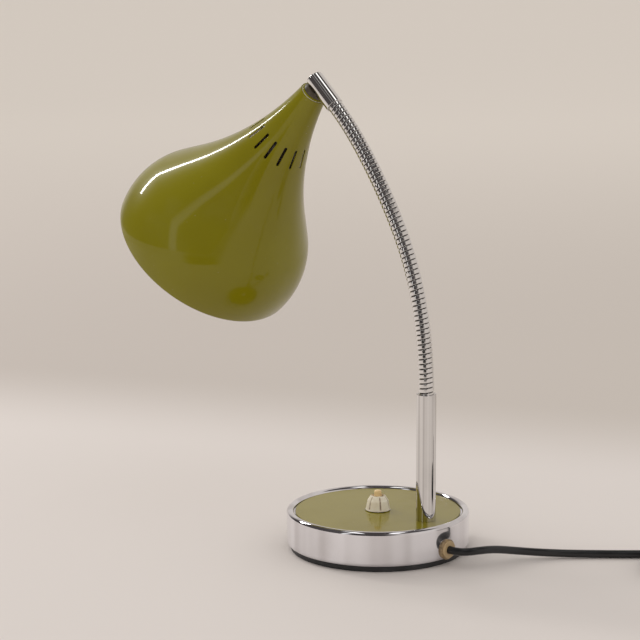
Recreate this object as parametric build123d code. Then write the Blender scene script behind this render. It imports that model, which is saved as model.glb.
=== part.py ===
from build123d import *
import math
import os

import numpy as np

# A desk lamp on a round drum base: a chrome stem, a hand-bent gooseneck and a spun shade.
# Millimetres, +Z up. The origin is the middle of the base's underside, on the table.
# +X points to the cord's exit. The neck leans over to -X, and the shade hangs out past the base.

# Base shell, spun from sheet: turned-in foot, upright wall, rolled bead and a ledge for the plate
BASE_RADIUS = 75.0
BASE_WALL = 1.2
FOOT_HEIGHT = 4.3
FOOT_CORNER = 3.5
FOOT_LIP = 9.0
BEAD_RADIUS = 3.05
BEAD_ABOVE_PLATE = 2.75
LEDGE_WIDTH = 6.9

# Green top plate
PLATE_TOP = 30.7
PLATE_THICKNESS = 1.5
PLATE_GAP = 1.1
PLATE_EDGE = 0.4

# Cast weight under the plate
WEIGHT_RADIUS = BASE_RADIUS - 10.0
WEIGHT_BOTTOM = 8.0
TROUGH_TOP = 17.0
TROUGH_HALF_WIDTH = 20.0

# Bottom cover, its three screws and the rubber foot ring round it
COVER_THICKNESS = 1.2
RING_OUTER = BASE_RADIUS - 3.3
RING_WIDTH = 8.7
RING_INNER = RING_OUTER - RING_WIDTH
RING_LIP = 1.7
RING_CORNER = 1.2
COVER_GAP = 0.2
SCREW_COUNT = 3
SCREW_CIRCLE = BASE_RADIUS - 25.0
SCREW_PHASE = 60.0
SCREW_RADIUS = 1.95
SCREW_HEAD_RADIUS = 3.6
SCREW_HEAD_HEIGHT = 2.1
SCREW_LENGTH = 11.0
BOSS_RADIUS = 6.0

# Clearances
THREAD_GAP = 0.05
HOLE_GAP = 0.2
RUN_GAP = 0.07

# Stem, off the middle of the base, and the threaded pipe that clamps it down
STEM_X = BASE_RADIUS - 26.2
STEM_Y = 4.0
STEM_RADIUS = 8.0
STEM_WALL = 1.7
STEM_TOP = 136.3
STEM_EDGE = 0.4
STEM_PLUG_HEIGHT = 12.0
PIPE_RADIUS = 5.0
PIPE_BORE = 3.4
PIPE_ENGAGEMENT = 11.0
WASHER_RADIUS = 11.0
WASHER_THICKNESS = 1.2
NUT_FLATS = 17.0
NUT_HEIGHT = 5.0
PIPE_BELOW_NUT = 1.0

# Push switch in the middle of the plate
SWITCH_RADIUS = 11.5
SWITCH_BOTTOM = 11.0
SWITCH_HOLE_GAP = 1.0
BUSHING_RADIUS = 5.0
BUSHING_HEIGHT = 9.0
BUSHING_FLANGE_RADIUS = 6.0
BUSHING_FLANGE = 2.0
BUTTON_RADIUS = 3.05
BUTTON_ABOVE_PLATE = 16.8
BUTTON_DOME = 1.2
BUTTON_FLANGE_RADIUS = 4.6
BUTTON_FLANGE = 2.0
BUTTON_REST_GAP = 0.2
BUTTON_CHAMBER_GAP = 0.4
CHAMBER_FLOOR = 16.0
SPRING_RADIUS = 3.5
SPRING_WIRE = 0.8
SPRING_TURNS = 4
TERMINAL_WIDTH = 4.4
TERMINAL_SPREAD = 6.0
TERMINAL_HEIGHT = 2.6

# Fluted collar nut that holds the switch
COLLAR_LIP_RADIUS = 10.4
COLLAR_LIP = 0.9
COLLAR_FOOT_RADIUS = 9.5
COLLAR_FOOT = 1.8
COLLAR_SHOULDER_RADIUS = 8.1
COLLAR_SHOULDER = 8.6
COLLAR_TOP_RADIUS = 5.4
COLLAR_HEIGHT = 12.3
COLLAR_HOLE_GAP = 0.35
COLLAR_FLUTES = 8
FLUTE_RADIUS = 0.9
FLUTE_DEPTH = 0.55

# Mains cord, its collar in the wall and its clamp
CORD_RADIUS = 3.15
CORD_HEIGHT = 13.2
CORD_GAP = 0.1
CORD_INNER_RUN = 14.0
CORD_END_X = STEM_X - 28.8
COLLAR_FLANGE_RADIUS = 8.3
COLLAR_STEP_RADIUS = 7.1
COLLAR_NECK_RADIUS = 5.8
COLLAR_FLANGE_LENGTH = 1.5
COLLAR_STEP_LENGTH = 1.5
COLLAR_BACK_RADIUS = 7.6
COLLAR_BACK_LENGTH = 2.0
CLAMP_START = STEM_X - 24.8
CLAMP_LENGTH = 8.0
CLAMP_Y = -10.5
CLAMP_WIDTH = 18.6
CLAMP_DEPTH = 10.0
CLAMP_CORD_DROP = 5.0
CLAMP_SCREW_RADIUS = 1.45
CLAMP_SCREW_SPREAD = 6.6
CLAMP_SCREW_HEAD_RADIUS = 2.6
CLAMP_SCREW_HEAD = 1.6

# Connector block and single wires inside the base
BLOCK_X = STEM_X - 21.8
BLOCK_Y = 9.0
BLOCK_LENGTH = 14.0
BLOCK_WIDTH = 11.0
BLOCK_HEIGHT = 8.0
BLOCK_HOLE_SPREAD = 5.4
WIRE_RADIUS = 1.1
WIRE_GAP = 0.3
WIRE_SPREAD = 1.3
WIRE_CORNER = 3.0

# Gooseneck: equal wound sections that hinge on each other, from the stem to the sleeve
NECK_RADIUS = 6.2
NECK_ROOT_RADIUS = 4.4
NECK_PITCH = 3.93
BAND_CREST = 2.2
BAND_ROOT = 3.0
TURNS_PER_SECTION = 5
FACETS_PER_TURN = 12
MOVING_SECTIONS = 12
NECK_IN_STEM = 11.2
BUTT_GAP = 0.6
# The bends set by hand, as (length along the neck, turn in degrees), from the stem up
NECK_BENDS = ((60.0, 10.5), (76.0, 18.0), (79.0, 10.5), (37.7, 8.75))

# Chrome end sleeve, closed at its far end, with the shade's pipe across it
SLEEVE_RADIUS = 7.2
SLEEVE_LENGTH = 31.8
SLEEVE_TO_PIPE = 23.4
SLEEVE_BORE_GAP = 0.1
SLEEVE_SOCKET = 13.5
SLEEVE_EDGE = 0.8
HEAD_PIPE_RADIUS = 4.8
HEAD_PIPE_BORE = 3.2
HEAD_PIPE_START = 2.0
SEAT_WASHER_RADIUS = 10.4
SEAT_WASHER = 1.2
SEAT_GAP = 0.05

# Spun shade: slim neck, flare, straight cone, belly and a cut rim, all tangent arcs
SHADE_WALL = 1.0
SHADE_NECK_RADIUS = 11.5
SHADE_NECK_CORNER = 1.0
NECK_SLOPE = 8.0
FLARE_SLOPE = 34.0
FLARE_RADIUS = 290.0
CONE_LENGTH = 24.0
BELLY_RADIUS = 71.0
RIM_SLOPE = 9.0
SLOT_COUNT = 14
SLOT_START = 55.5
SLOT_END = 72.0
SLOT_WIDTH = 2.4
SHADE_NUT_HEIGHT = 4.0

# Lampholder and bulb on the shade's axis, measured from the sleeve's axis
HOLDER_TOP = 44.0
HOLDER_PIPE_RADIUS = 7.0
HOLDER_SHOULDER = 16.0
HOLDER_CAP_LENGTH = 22.0
HOLDER_RADIUS = 19.5
HOLDER_LENGTH = 34.0
HOLDER_WALL = 2.0
HOLDER_RING_WIDTH = 2.0
HOLDER_RING_HEIGHT = 8.0
INSERT_GAP = 0.2
INSERT_HEIGHT = 13.0
SHELL_RADIUS = 14.2
SHELL_WALL = 0.5
SHELL_HEIGHT = 20.0
CONTACT_RADIUS = 3.0
CONTACT_HEIGHT = 3.0
BULB_CAP_RADIUS = 13.2
BULB_CAP_LENGTH = 26.0
BULB_RADIUS = 30.0
BULB_LENGTH = 78.0
BULB_NECK_RADIUS = 14.5
BULB_WALL = 1.0
BULB_COLLAR = 6.0

# Cord on the table, as (x, y, z) points: out of the collar, down and away to the coil
CORD_ROUTE = (
    (BASE_RADIUS + 3.0, 0.0, CORD_HEIGHT),
    (BASE_RADIUS + 11.4, 0.0, CORD_HEIGHT),
    (94.2, 3.2, 14.0),
    (99.4, 9.8, 14.7),
    (102.4, 19.8, 14.2),
    (105.0, 32.4, 12.0),
    (109.2, 46.6, 8.8),
    (116.6, 61.4, 6.0),
    (128.6, 77.0, 4.1),
    (147.4, 95.8, 3.4),
    (170.6, 117.4, 3.3),
    (192.0, 139.0, 3.3),
    (207.4, 155.4, 3.3),
)
COIL_TURNS = 3
COIL_RADIUS = 42.6
COIL_SPACING = 6.8
COIL_SIDES = 6
RUN_SHARE = 0.45
# The cord's last stretch, as (distance past the coil, height)
TAIL_ROUTE = ((0.0, 10.1), (12.0, 10.1), (25.0, 11.5), (37.0, 14.2), (49.0, 14.2))

# Two-pin plug on the end of the cord
PLUG_RADIUS = 14.0
PLUG_LENGTH = 27.0
PLUG_FACE_RADIUS = 13.0
PLUG_NECK_RADIUS = 7.5
PLUG_SHOULDER = 9.0
PLUG_BOOT_RADIUS = 5.4
PLUG_BOOT_END = 4.2
PLUG_BOOT_LENGTH = 24.0
PLUG_PIN_RADIUS = 2.0
PLUG_PIN_LENGTH = 19.0
PLUG_PIN_SPREAD = 19.0

# Heights and radii that follow
PLATE_BOTTOM = PLATE_TOP - PLATE_THICKNESS
BEAD_CENTRE_RADIUS = BASE_RADIUS - BEAD_RADIUS
BEAD_INNER_RADIUS = BASE_RADIUS - 2 * BEAD_RADIUS
BEAD_CENTRE_HEIGHT = PLATE_TOP + BEAD_ABOVE_PLATE - BEAD_RADIUS
LEDGE_RADIUS = BEAD_INNER_RADIUS - LEDGE_WIDTH
LEDGE_BOTTOM = PLATE_BOTTOM - BASE_WALL
PLATE_RADIUS = BEAD_INNER_RADIUS - PLATE_GAP
COVER_BOTTOM = FOOT_HEIGHT - COVER_THICKNESS
COVER_RADIUS = RING_OUTER - RING_LIP - COVER_GAP
STEM_BORE = STEM_RADIUS - STEM_WALL
NUT_TOP = TROUGH_TOP - WASHER_THICKNESS
NUT_BOTTOM = NUT_TOP - NUT_HEIGHT
PIPE_BOTTOM = NUT_BOTTOM - PIPE_BELOW_NUT
NUT_CORNERS = NUT_FLATS / math.sqrt(3)
BUSHING_BOTTOM = PLATE_BOTTOM - BUSHING_FLANGE
BUTTON_TOP = PLATE_TOP + BUTTON_ABOVE_PLATE
BUTTON_FLANGE_TOP = BUSHING_BOTTOM - BUTTON_REST_GAP
BUTTON_BOTTOM = BUTTON_FLANGE_TOP - BUTTON_FLANGE
CORD_EXIT = BASE_RADIUS + COLLAR_FLANGE_LENGTH + COLLAR_STEP_LENGTH
SECTION_LENGTH = TURNS_PER_SECTION * NECK_PITCH
NECK_TURN = sum(turn for length, turn in NECK_BENDS)
SHADE_TOP = SLEEVE_RADIUS + SEAT_GAP + SEAT_WASHER


def tube(outer, inner, low, high):
    """Round tube on the Z axis between two heights."""
    body = Pos(0, 0, low) * extrude(Circle(outer) - Circle(inner), high - low)
    return body


def rod(radius, low, high):
    """Round bar on the Z axis between two heights."""
    return Pos(0, 0, low) * extrude(Circle(radius), high - low)


def arc(start, end, centre):
    """Arc under half a turn from start to end, in the XZ plane, as (radius, height) pairs."""
    a = Vector(start[0], 0, start[1])
    b = Vector(end[0], 0, end[1])
    c = Vector(centre[0], 0, centre[1])
    middle = c + ((a - c) + (b - c)).normalized() * (a - c).length
    return ThreePointArc(a, middle, b)


def line(start, end):
    """Straight edge in the XZ plane, as (radius, height) pairs."""
    return Line((start[0], 0, start[1]), (end[0], 0, end[1]))


def half_circle(start, top, end):
    """Half circle in the XZ plane through its top, as (radius, height) pairs."""
    return ThreePointArc((start[0], 0, start[1]), (top[0], 0, top[1]), (end[0], 0, end[1]))


def turned(edges):
    """Solid of revolution about Z from the edges of a closed outline in the XZ plane."""
    return revolve(Face(Wire(edges)), Axis.Z)


def turned_points(points):
    """Solid of revolution about Z from the corners of an outline, as (radius, height) pairs."""
    outline = Wire.make_polygon([(radius, 0, height) for radius, height in points], close=True)
    return revolve(Face(outline), Axis.Z)


def hexagon(corners, hole, low, high):
    """Six-sided nut on the Z axis."""
    return Pos(0, 0, low) * extrude(RegularPolygon(corners, 6) - Circle(hole), high - low)


def around(count, radius, phase):
    """Places on a circle about Z, evenly spaced, each turned to face outwards."""
    step = 360 / count
    return [Rot(0, 0, phase + step * k) * Pos(radius, 0, 0) for k in range(count)]


def base_shell():
    """Chrome drum with a turned-in foot, a rolled bead and a ledge, and the cord's hole."""
    wall = BASE_RADIUS - BASE_WALL
    foot = BASE_RADIUS - FOOT_CORNER
    lip = FOOT_HEIGHT + BASE_WALL
    corner = FOOT_HEIGHT + FOOT_CORNER
    bead_in = BEAD_INNER_RADIUS + BASE_WALL
    edges = [
        line((BASE_RADIUS - FOOT_LIP, FOOT_HEIGHT), (foot, FOOT_HEIGHT)),
        arc((foot, FOOT_HEIGHT), (BASE_RADIUS, corner), (foot, corner)),
        line((BASE_RADIUS, corner), (BASE_RADIUS, BEAD_CENTRE_HEIGHT)),
        half_circle(
            (BASE_RADIUS, BEAD_CENTRE_HEIGHT),
            (BEAD_CENTRE_RADIUS, BEAD_CENTRE_HEIGHT + BEAD_RADIUS),
            (BEAD_INNER_RADIUS, BEAD_CENTRE_HEIGHT),
        ),
        line((BEAD_INNER_RADIUS, BEAD_CENTRE_HEIGHT), (BEAD_INNER_RADIUS, PLATE_BOTTOM)),
        line((BEAD_INNER_RADIUS, PLATE_BOTTOM), (LEDGE_RADIUS, PLATE_BOTTOM)),
        line((LEDGE_RADIUS, PLATE_BOTTOM), (LEDGE_RADIUS, LEDGE_BOTTOM)),
        line((LEDGE_RADIUS, LEDGE_BOTTOM), (bead_in, LEDGE_BOTTOM)),
        line((bead_in, LEDGE_BOTTOM), (bead_in, BEAD_CENTRE_HEIGHT)),
        half_circle(
            (bead_in, BEAD_CENTRE_HEIGHT),
            (BEAD_CENTRE_RADIUS, BEAD_CENTRE_HEIGHT + BEAD_RADIUS - BASE_WALL),
            (wall, BEAD_CENTRE_HEIGHT),
        ),
        line((wall, BEAD_CENTRE_HEIGHT), (wall, corner)),
        arc((wall, corner), (foot, lip), (foot, corner)),
        line((foot, lip), (BASE_RADIUS - FOOT_LIP, lip)),
        line((BASE_RADIUS - FOOT_LIP, lip), (BASE_RADIUS - FOOT_LIP, FOOT_HEIGHT)),
    ]
    hole = Rot(0, 90, 0) * rod(COLLAR_NECK_RADIUS + CORD_GAP, LEDGE_RADIUS, BASE_RADIUS + BASE_WALL)
    return turned(edges) - Pos(0, 0, CORD_HEIGHT) * hole


def top_plate():
    """Inset disc with the switch's hole in the middle and the stem's pipe hole beside it."""
    disc = rod(PLATE_RADIUS, PLATE_BOTTOM, PLATE_TOP)
    disc = fillet(disc.edges().group_by(Axis.Z)[-1], PLATE_EDGE)
    disc -= rod(BUSHING_RADIUS + HOLE_GAP, PLATE_BOTTOM, PLATE_TOP)
    disc -= Pos(STEM_X, STEM_Y, 0) * rod(PIPE_RADIUS + HOLE_GAP, PLATE_BOTTOM, PLATE_TOP)
    return disc


def base_weight():
    """Cast disc that clamps the ledge from below, with a wiring trough and three screw bosses."""
    body = rod(WEIGHT_RADIUS, WEIGHT_BOTTOM, LEDGE_BOTTOM)
    body += rod(LEDGE_RADIUS - HOLE_GAP, LEDGE_BOTTOM, PLATE_BOTTOM)
    trough = Pos(BASE_RADIUS / 2, 0) * Rectangle(BASE_RADIUS, 2 * TROUGH_HALF_WIDTH)
    trough += Circle(TROUGH_HALF_WIDTH)
    body -= Pos(0, 0, WEIGHT_BOTTOM) * extrude(trough, TROUGH_TOP - WEIGHT_BOTTOM)
    body -= rod(SWITCH_RADIUS + SWITCH_HOLE_GAP, WEIGHT_BOTTOM, PLATE_BOTTOM)
    body -= Pos(STEM_X, STEM_Y, 0) * rod(PIPE_RADIUS + HOLE_GAP, TROUGH_TOP, PLATE_BOTTOM)
    for place in around(SCREW_COUNT, SCREW_CIRCLE, SCREW_PHASE):
        body += place * rod(BOSS_RADIUS, FOOT_HEIGHT, WEIGHT_BOTTOM)
        body -= place * rod(SCREW_RADIUS + THREAD_GAP, FOOT_HEIGHT, FOOT_HEIGHT + SCREW_LENGTH)
    screw_top = TROUGH_TOP + SCREW_LENGTH / 2
    for side in (-1, 1):
        spot = Pos(CLAMP_START + CLAMP_LENGTH / 2, CLAMP_Y + side * CLAMP_SCREW_SPREAD, 0)
        body -= spot * rod(CLAMP_SCREW_RADIUS + THREAD_GAP, TROUGH_TOP, screw_top)
    return body


def bottom_cover():
    """Steel disc that closes the base from below."""
    disc = rod(COVER_RADIUS, COVER_BOTTOM, FOOT_HEIGHT)
    for place in around(SCREW_COUNT, SCREW_CIRCLE, SCREW_PHASE):
        disc -= place * rod(SCREW_RADIUS + HOLE_GAP, COVER_BOTTOM, FOOT_HEIGHT)
    return disc


def foot_ring():
    """Black rubber ring that the lamp stands on, with a lip round the cover's edge."""
    corner = RING_OUTER - RING_CORNER
    edges = [
        line((RING_INNER, 0), (corner, 0)),
        arc((corner, 0), (RING_OUTER, RING_CORNER), (corner, RING_CORNER)),
        line((RING_OUTER, RING_CORNER), (RING_OUTER, FOOT_HEIGHT)),
        line((RING_OUTER, FOOT_HEIGHT), (RING_OUTER - RING_LIP, FOOT_HEIGHT)),
        line((RING_OUTER - RING_LIP, FOOT_HEIGHT), (RING_OUTER - RING_LIP, COVER_BOTTOM)),
        line((RING_OUTER - RING_LIP, COVER_BOTTOM), (RING_INNER, COVER_BOTTOM)),
        line((RING_INNER, COVER_BOTTOM), (RING_INNER, 0)),
    ]
    return turned(edges)


def cover_screws():
    """Three pan-head screws up through the cover into the weight's bosses."""
    head = rod(SCREW_HEAD_RADIUS, COVER_BOTTOM - SCREW_HEAD_HEIGHT, COVER_BOTTOM)
    head = fillet(head.edges().group_by(Axis.Z)[0], SCREW_HEAD_HEIGHT / 3)
    screw = head + rod(SCREW_RADIUS, COVER_BOTTOM, COVER_BOTTOM + SCREW_LENGTH)
    return [place * screw for place in around(SCREW_COUNT, SCREW_CIRCLE, SCREW_PHASE)]


def stem_tube():
    """Plain chrome tube standing on the plate."""
    body = tube(STEM_RADIUS, STEM_BORE, PLATE_TOP, STEM_TOP)
    body = fillet(body.edges().group_by(Axis.Z)[-1], STEM_EDGE)
    return Pos(STEM_X, STEM_Y, 0) * body


def stem_plug():
    """Threaded plug brazed in the stem's foot."""
    body = tube(STEM_BORE - THREAD_GAP, PIPE_RADIUS + THREAD_GAP, PLATE_TOP, PLATE_TOP + STEM_PLUG_HEIGHT)
    return Pos(STEM_X, STEM_Y, 0) * body


def stem_pipe():
    """Threaded pipe from the stem's plug down through the plate and the weight."""
    return Pos(STEM_X, STEM_Y, 0) * tube(PIPE_RADIUS, PIPE_BORE, PIPE_BOTTOM, PLATE_TOP + PIPE_ENGAGEMENT)


def stem_washer():
    """Washer under the weight's web."""
    return Pos(STEM_X, STEM_Y, 0) * tube(WASHER_RADIUS, PIPE_RADIUS + HOLE_GAP, NUT_TOP, TROUGH_TOP)


def stem_nut():
    """Nut that pulls the stem, the plate and the weight together."""
    return Pos(STEM_X, STEM_Y, 0) * hexagon(NUT_CORNERS, PIPE_RADIUS + THREAD_GAP, NUT_BOTTOM, NUT_TOP)


def switch_body():
    """Moulded switch housing under the plate, with the button's chamber."""
    body = rod(SWITCH_RADIUS, SWITCH_BOTTOM, PLATE_BOTTOM)
    body -= rod(BUSHING_FLANGE_RADIUS + THREAD_GAP, BUSHING_BOTTOM, PLATE_BOTTOM)
    body -= rod(BUTTON_FLANGE_RADIUS + BUTTON_CHAMBER_GAP, CHAMBER_FLOOR, BUSHING_BOTTOM)
    return body


def switch_bushing():
    """Threaded metal bushing up through the plate, with its flange against the plate's underside."""
    body = tube(BUSHING_FLANGE_RADIUS, BUTTON_RADIUS + RUN_GAP, BUSHING_BOTTOM, PLATE_BOTTOM)
    body += tube(BUSHING_RADIUS, BUTTON_RADIUS + RUN_GAP, PLATE_BOTTOM, PLATE_TOP + BUSHING_HEIGHT)
    return body


def switch_button():
    """Push button: a domed rod with a stop flange inside the switch."""
    edges = [
        line((0, BUTTON_BOTTOM), (BUTTON_FLANGE_RADIUS, BUTTON_BOTTOM)),
        line((BUTTON_FLANGE_RADIUS, BUTTON_BOTTOM), (BUTTON_FLANGE_RADIUS, BUTTON_FLANGE_TOP)),
        line((BUTTON_FLANGE_RADIUS, BUTTON_FLANGE_TOP), (BUTTON_RADIUS, BUTTON_FLANGE_TOP)),
        line((BUTTON_RADIUS, BUTTON_FLANGE_TOP), (BUTTON_RADIUS, BUTTON_TOP - BUTTON_DOME)),
        arc(
            (BUTTON_RADIUS, BUTTON_TOP - BUTTON_DOME),
            (BUTTON_RADIUS - BUTTON_DOME, BUTTON_TOP),
            (BUTTON_RADIUS - BUTTON_DOME, BUTTON_TOP - BUTTON_DOME),
        ),
        line((BUTTON_RADIUS - BUTTON_DOME, BUTTON_TOP), (0, BUTTON_TOP)),
        line((0, BUTTON_TOP), (0, BUTTON_BOTTOM)),
    ]
    return turned(edges)


def wound_band(outline, pitch, turns, facets, gap):
    """Helical band of flat facets about Z, right-handed, from its outline as (radius, height) pairs.

    The band starts at height 0 and leaves a gap, measured along the crest, at its butt end.
    """
    crest = max(radius for radius, height in outline)
    whole = 2 * math.pi * turns - gap / crest
    count = turns * facets
    rings = []
    for step in range(count + 1):
        angle = gap / crest / 2 + whole * step / count
        rise = pitch * angle / (2 * math.pi)
        side = Vector(math.cos(angle), math.sin(angle), 0)
        rings.append([side * radius + Vector(0, 0, rise + height) for radius, height in outline])
    faces = [Face(Wire.make_polygon(rings[0], close=True)), Face(Wire.make_polygon(rings[-1], close=True))]
    corners = len(outline)
    for low, high in zip(rings, rings[1:]):
        for k in range(corners):
            n = (k + 1) % corners
            if outline[k][0] == outline[n][0]:
                faces.append(Face(Wire.make_polygon([low[k], low[n], high[n], high[k]], close=True)))
            else:
                faces.append(Face(Wire.make_polygon([low[k], low[n], high[n]], close=True)))
                faces.append(Face(Wire.make_polygon([low[k], high[n], high[k]], close=True)))
    return Solid(Shell(faces))


def switch_spring():
    """Return spring under the button's flange."""
    half = SPRING_WIRE / 2
    height = BUTTON_BOTTOM - CHAMBER_FLOOR - SPRING_WIRE
    outline = [
        (SPRING_RADIUS, half),
        (SPRING_RADIUS - SPRING_WIRE, half),
        (SPRING_RADIUS - SPRING_WIRE, -half),
        (SPRING_RADIUS, -half),
    ]
    wire = wound_band(outline, height / SPRING_TURNS, SPRING_TURNS, FACETS_PER_TURN, SPRING_WIRE)
    return Pos(0, 0, CHAMBER_FLOOR + half) * wire


def switch_terminals():
    """Two brass terminals on the switch's underside."""
    middle = SWITCH_BOTTOM - TERMINAL_HEIGHT / 2
    lug = Box(TERMINAL_WIDTH, TERMINAL_WIDTH, TERMINAL_HEIGHT)
    return [Pos(0, side * TERMINAL_SPREAD, middle) * lug for side in (-1, 1)]


def switch_collar():
    """Fluted dome nut on the bushing, pressed down on the plate."""
    hole = BUTTON_RADIUS + COLLAR_HOLE_GAP
    thread = BUSHING_RADIUS + THREAD_GAP
    rise = COLLAR_HEIGHT - COLLAR_SHOULDER
    edges = [
        line((thread, 0), (COLLAR_LIP_RADIUS, 0)),
        line((COLLAR_LIP_RADIUS, 0), (COLLAR_LIP_RADIUS, COLLAR_LIP)),
        line((COLLAR_LIP_RADIUS, COLLAR_LIP), (COLLAR_FOOT_RADIUS, COLLAR_FOOT)),
        line((COLLAR_FOOT_RADIUS, COLLAR_FOOT), (COLLAR_SHOULDER_RADIUS, COLLAR_SHOULDER)),
        ThreePointArc(
            (COLLAR_SHOULDER_RADIUS, 0, COLLAR_SHOULDER),
            (COLLAR_TOP_RADIUS + rise / 2, 0, COLLAR_SHOULDER + 0.72 * rise),
            (COLLAR_TOP_RADIUS, 0, COLLAR_HEIGHT),
        ),
        line((COLLAR_TOP_RADIUS, COLLAR_HEIGHT), (hole, COLLAR_HEIGHT)),
        line((hole, COLLAR_HEIGHT), (hole, BUSHING_HEIGHT + THREAD_GAP)),
        line((hole, BUSHING_HEIGHT + THREAD_GAP), (thread, BUSHING_HEIGHT + THREAD_GAP)),
        line((thread, BUSHING_HEIGHT + THREAD_GAP), (thread, 0)),
    ]
    body = turned(edges)
    run = COLLAR_SHOULDER - COLLAR_FOOT
    lean = math.degrees(math.atan2(COLLAR_FOOT_RADIUS - COLLAR_SHOULDER_RADIUS, run))
    middle = (COLLAR_FOOT_RADIUS + COLLAR_SHOULDER_RADIUS) / 2 + FLUTE_RADIUS - FLUTE_DEPTH
    flute = Rot(0, -lean, 0) * Cylinder(FLUTE_RADIUS, 1.6 * run)
    flute = Pos(middle, 0, (COLLAR_FOOT + COLLAR_SHOULDER) / 2) * flute
    for place in around(COLLAR_FLUTES, 0, 180 / COLLAR_FLUTES):
        body -= place * flute
    return Pos(0, 0, PLATE_TOP) * body


def cord_collar():
    """Two-step collar in the wall's hole, shaped to the wall on both sides."""
    wall = BASE_RADIUS - BASE_WALL
    flange_end = BASE_RADIUS + COLLAR_FLANGE_LENGTH
    drum = rod(BASE_RADIUS, 0, PLATE_TOP)
    inside = rod(wall, FOOT_HEIGHT + FOOT_CORNER, PLATE_TOP)
    lift = Pos(0, 0, CORD_HEIGHT)
    front = lift * Rot(0, 90, 0) * rod(COLLAR_FLANGE_RADIUS, wall, flange_end) - drum
    front += lift * Rot(0, 90, 0) * rod(COLLAR_STEP_RADIUS, BASE_RADIUS, CORD_EXIT)
    back = lift * Rot(0, 90, 0) * rod(COLLAR_BACK_RADIUS, wall - COLLAR_BACK_LENGTH, BASE_RADIUS) & inside
    neck = lift * Rot(0, 90, 0) * rod(COLLAR_NECK_RADIUS, wall - COLLAR_BACK_LENGTH, flange_end)
    body = front + neck + back
    body -= lift * Rot(0, 90, 0) * rod(CORD_RADIUS + CORD_GAP, wall - 2 * COLLAR_BACK_LENGTH, CORD_EXIT)
    return body


def corner_radii(points):
    """A radius for each corner of a route, as large as its two runs allow."""
    radii = []
    for before, at, after in zip(points, points[1:], points[2:]):
        first = Vector(*at) - Vector(*before)
        second = Vector(*after) - Vector(*at)
        half_turn = math.radians(first.get_angle(second)) / 2
        radii.append(RUN_SHARE * min(first.length, second.length) / math.tan(half_turn))
    return radii


def routed(points, radius):
    """Round cable along straight runs joined by tangent arcs."""
    path = FilletPolyline(*points, radius=corner_radii(points))
    start = Plane(origin=path @ 0, z_dir=path % 0)
    return sweep(start * Circle(radius), path=path)


def cord_in_base():
    """The cord's end inside the base, from the collar's mouth to its clamp."""
    drop = TROUGH_TOP - CLAMP_CORD_DROP
    points = (
        (CORD_EXIT, 0, CORD_HEIGHT),
        (CORD_EXIT - CORD_INNER_RUN, 0, CORD_HEIGHT),
        (STEM_X + WASHER_RADIUS - 2, CLAMP_Y + 0.6, drop + 0.4),
        (CLAMP_START + CLAMP_LENGTH + 5, CLAMP_Y, drop),
        (CORD_END_X, CLAMP_Y, drop),
    )
    return routed(points, CORD_RADIUS)


def cord_clamp():
    """Block under the weight's web with the cord gripped in its hole."""
    drop = TROUGH_TOP - CLAMP_CORD_DROP
    middle = CLAMP_START + CLAMP_LENGTH / 2
    body = Pos(middle, CLAMP_Y, TROUGH_TOP - CLAMP_DEPTH / 2) * Box(CLAMP_LENGTH, CLAMP_WIDTH, CLAMP_DEPTH)
    groove = Rot(0, 90, 0) * rod(CORD_RADIUS + CORD_GAP, 0, CLAMP_LENGTH + 2)
    body -= Pos(CLAMP_START - 1, CLAMP_Y, drop) * groove
    for side in (-1, 1):
        spot = Pos(middle, CLAMP_Y + side * CLAMP_SCREW_SPREAD, 0)
        body -= spot * rod(CLAMP_SCREW_RADIUS + THREAD_GAP, 0, TROUGH_TOP)
    return body


def clamp_screws():
    """Two screws that hold the clamp up against the weight."""
    low = TROUGH_TOP - CLAMP_DEPTH
    middle = CLAMP_START + CLAMP_LENGTH / 2
    screw = rod(CLAMP_SCREW_HEAD_RADIUS, low - CLAMP_SCREW_HEAD, low)
    screw += rod(CLAMP_SCREW_RADIUS, low, TROUGH_TOP + SCREW_LENGTH / 2 - 0.5)
    return [Pos(middle, CLAMP_Y + side * CLAMP_SCREW_SPREAD, 0) * screw for side in (-1, 1)]


def connector_block():
    """Two-way connector under the weight's web."""
    level = TROUGH_TOP - BLOCK_HEIGHT / 2
    body = Pos(BLOCK_X, BLOCK_Y, level) * Box(BLOCK_LENGTH, BLOCK_WIDTH, BLOCK_HEIGHT)
    body = fillet(body.edges().filter_by(Axis.Z), 1.5)
    for side in (-1, 1):
        hole = Rot(0, 90, 0) * rod(WIRE_RADIUS + WIRE_GAP, -BLOCK_LENGTH / 2, BLOCK_LENGTH / 2)
        body -= Pos(BLOCK_X, BLOCK_Y + side * BLOCK_HOLE_SPREAD / 2, TROUGH_TOP - BLOCK_HEIGHT / 2) * hole
    return body


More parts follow.
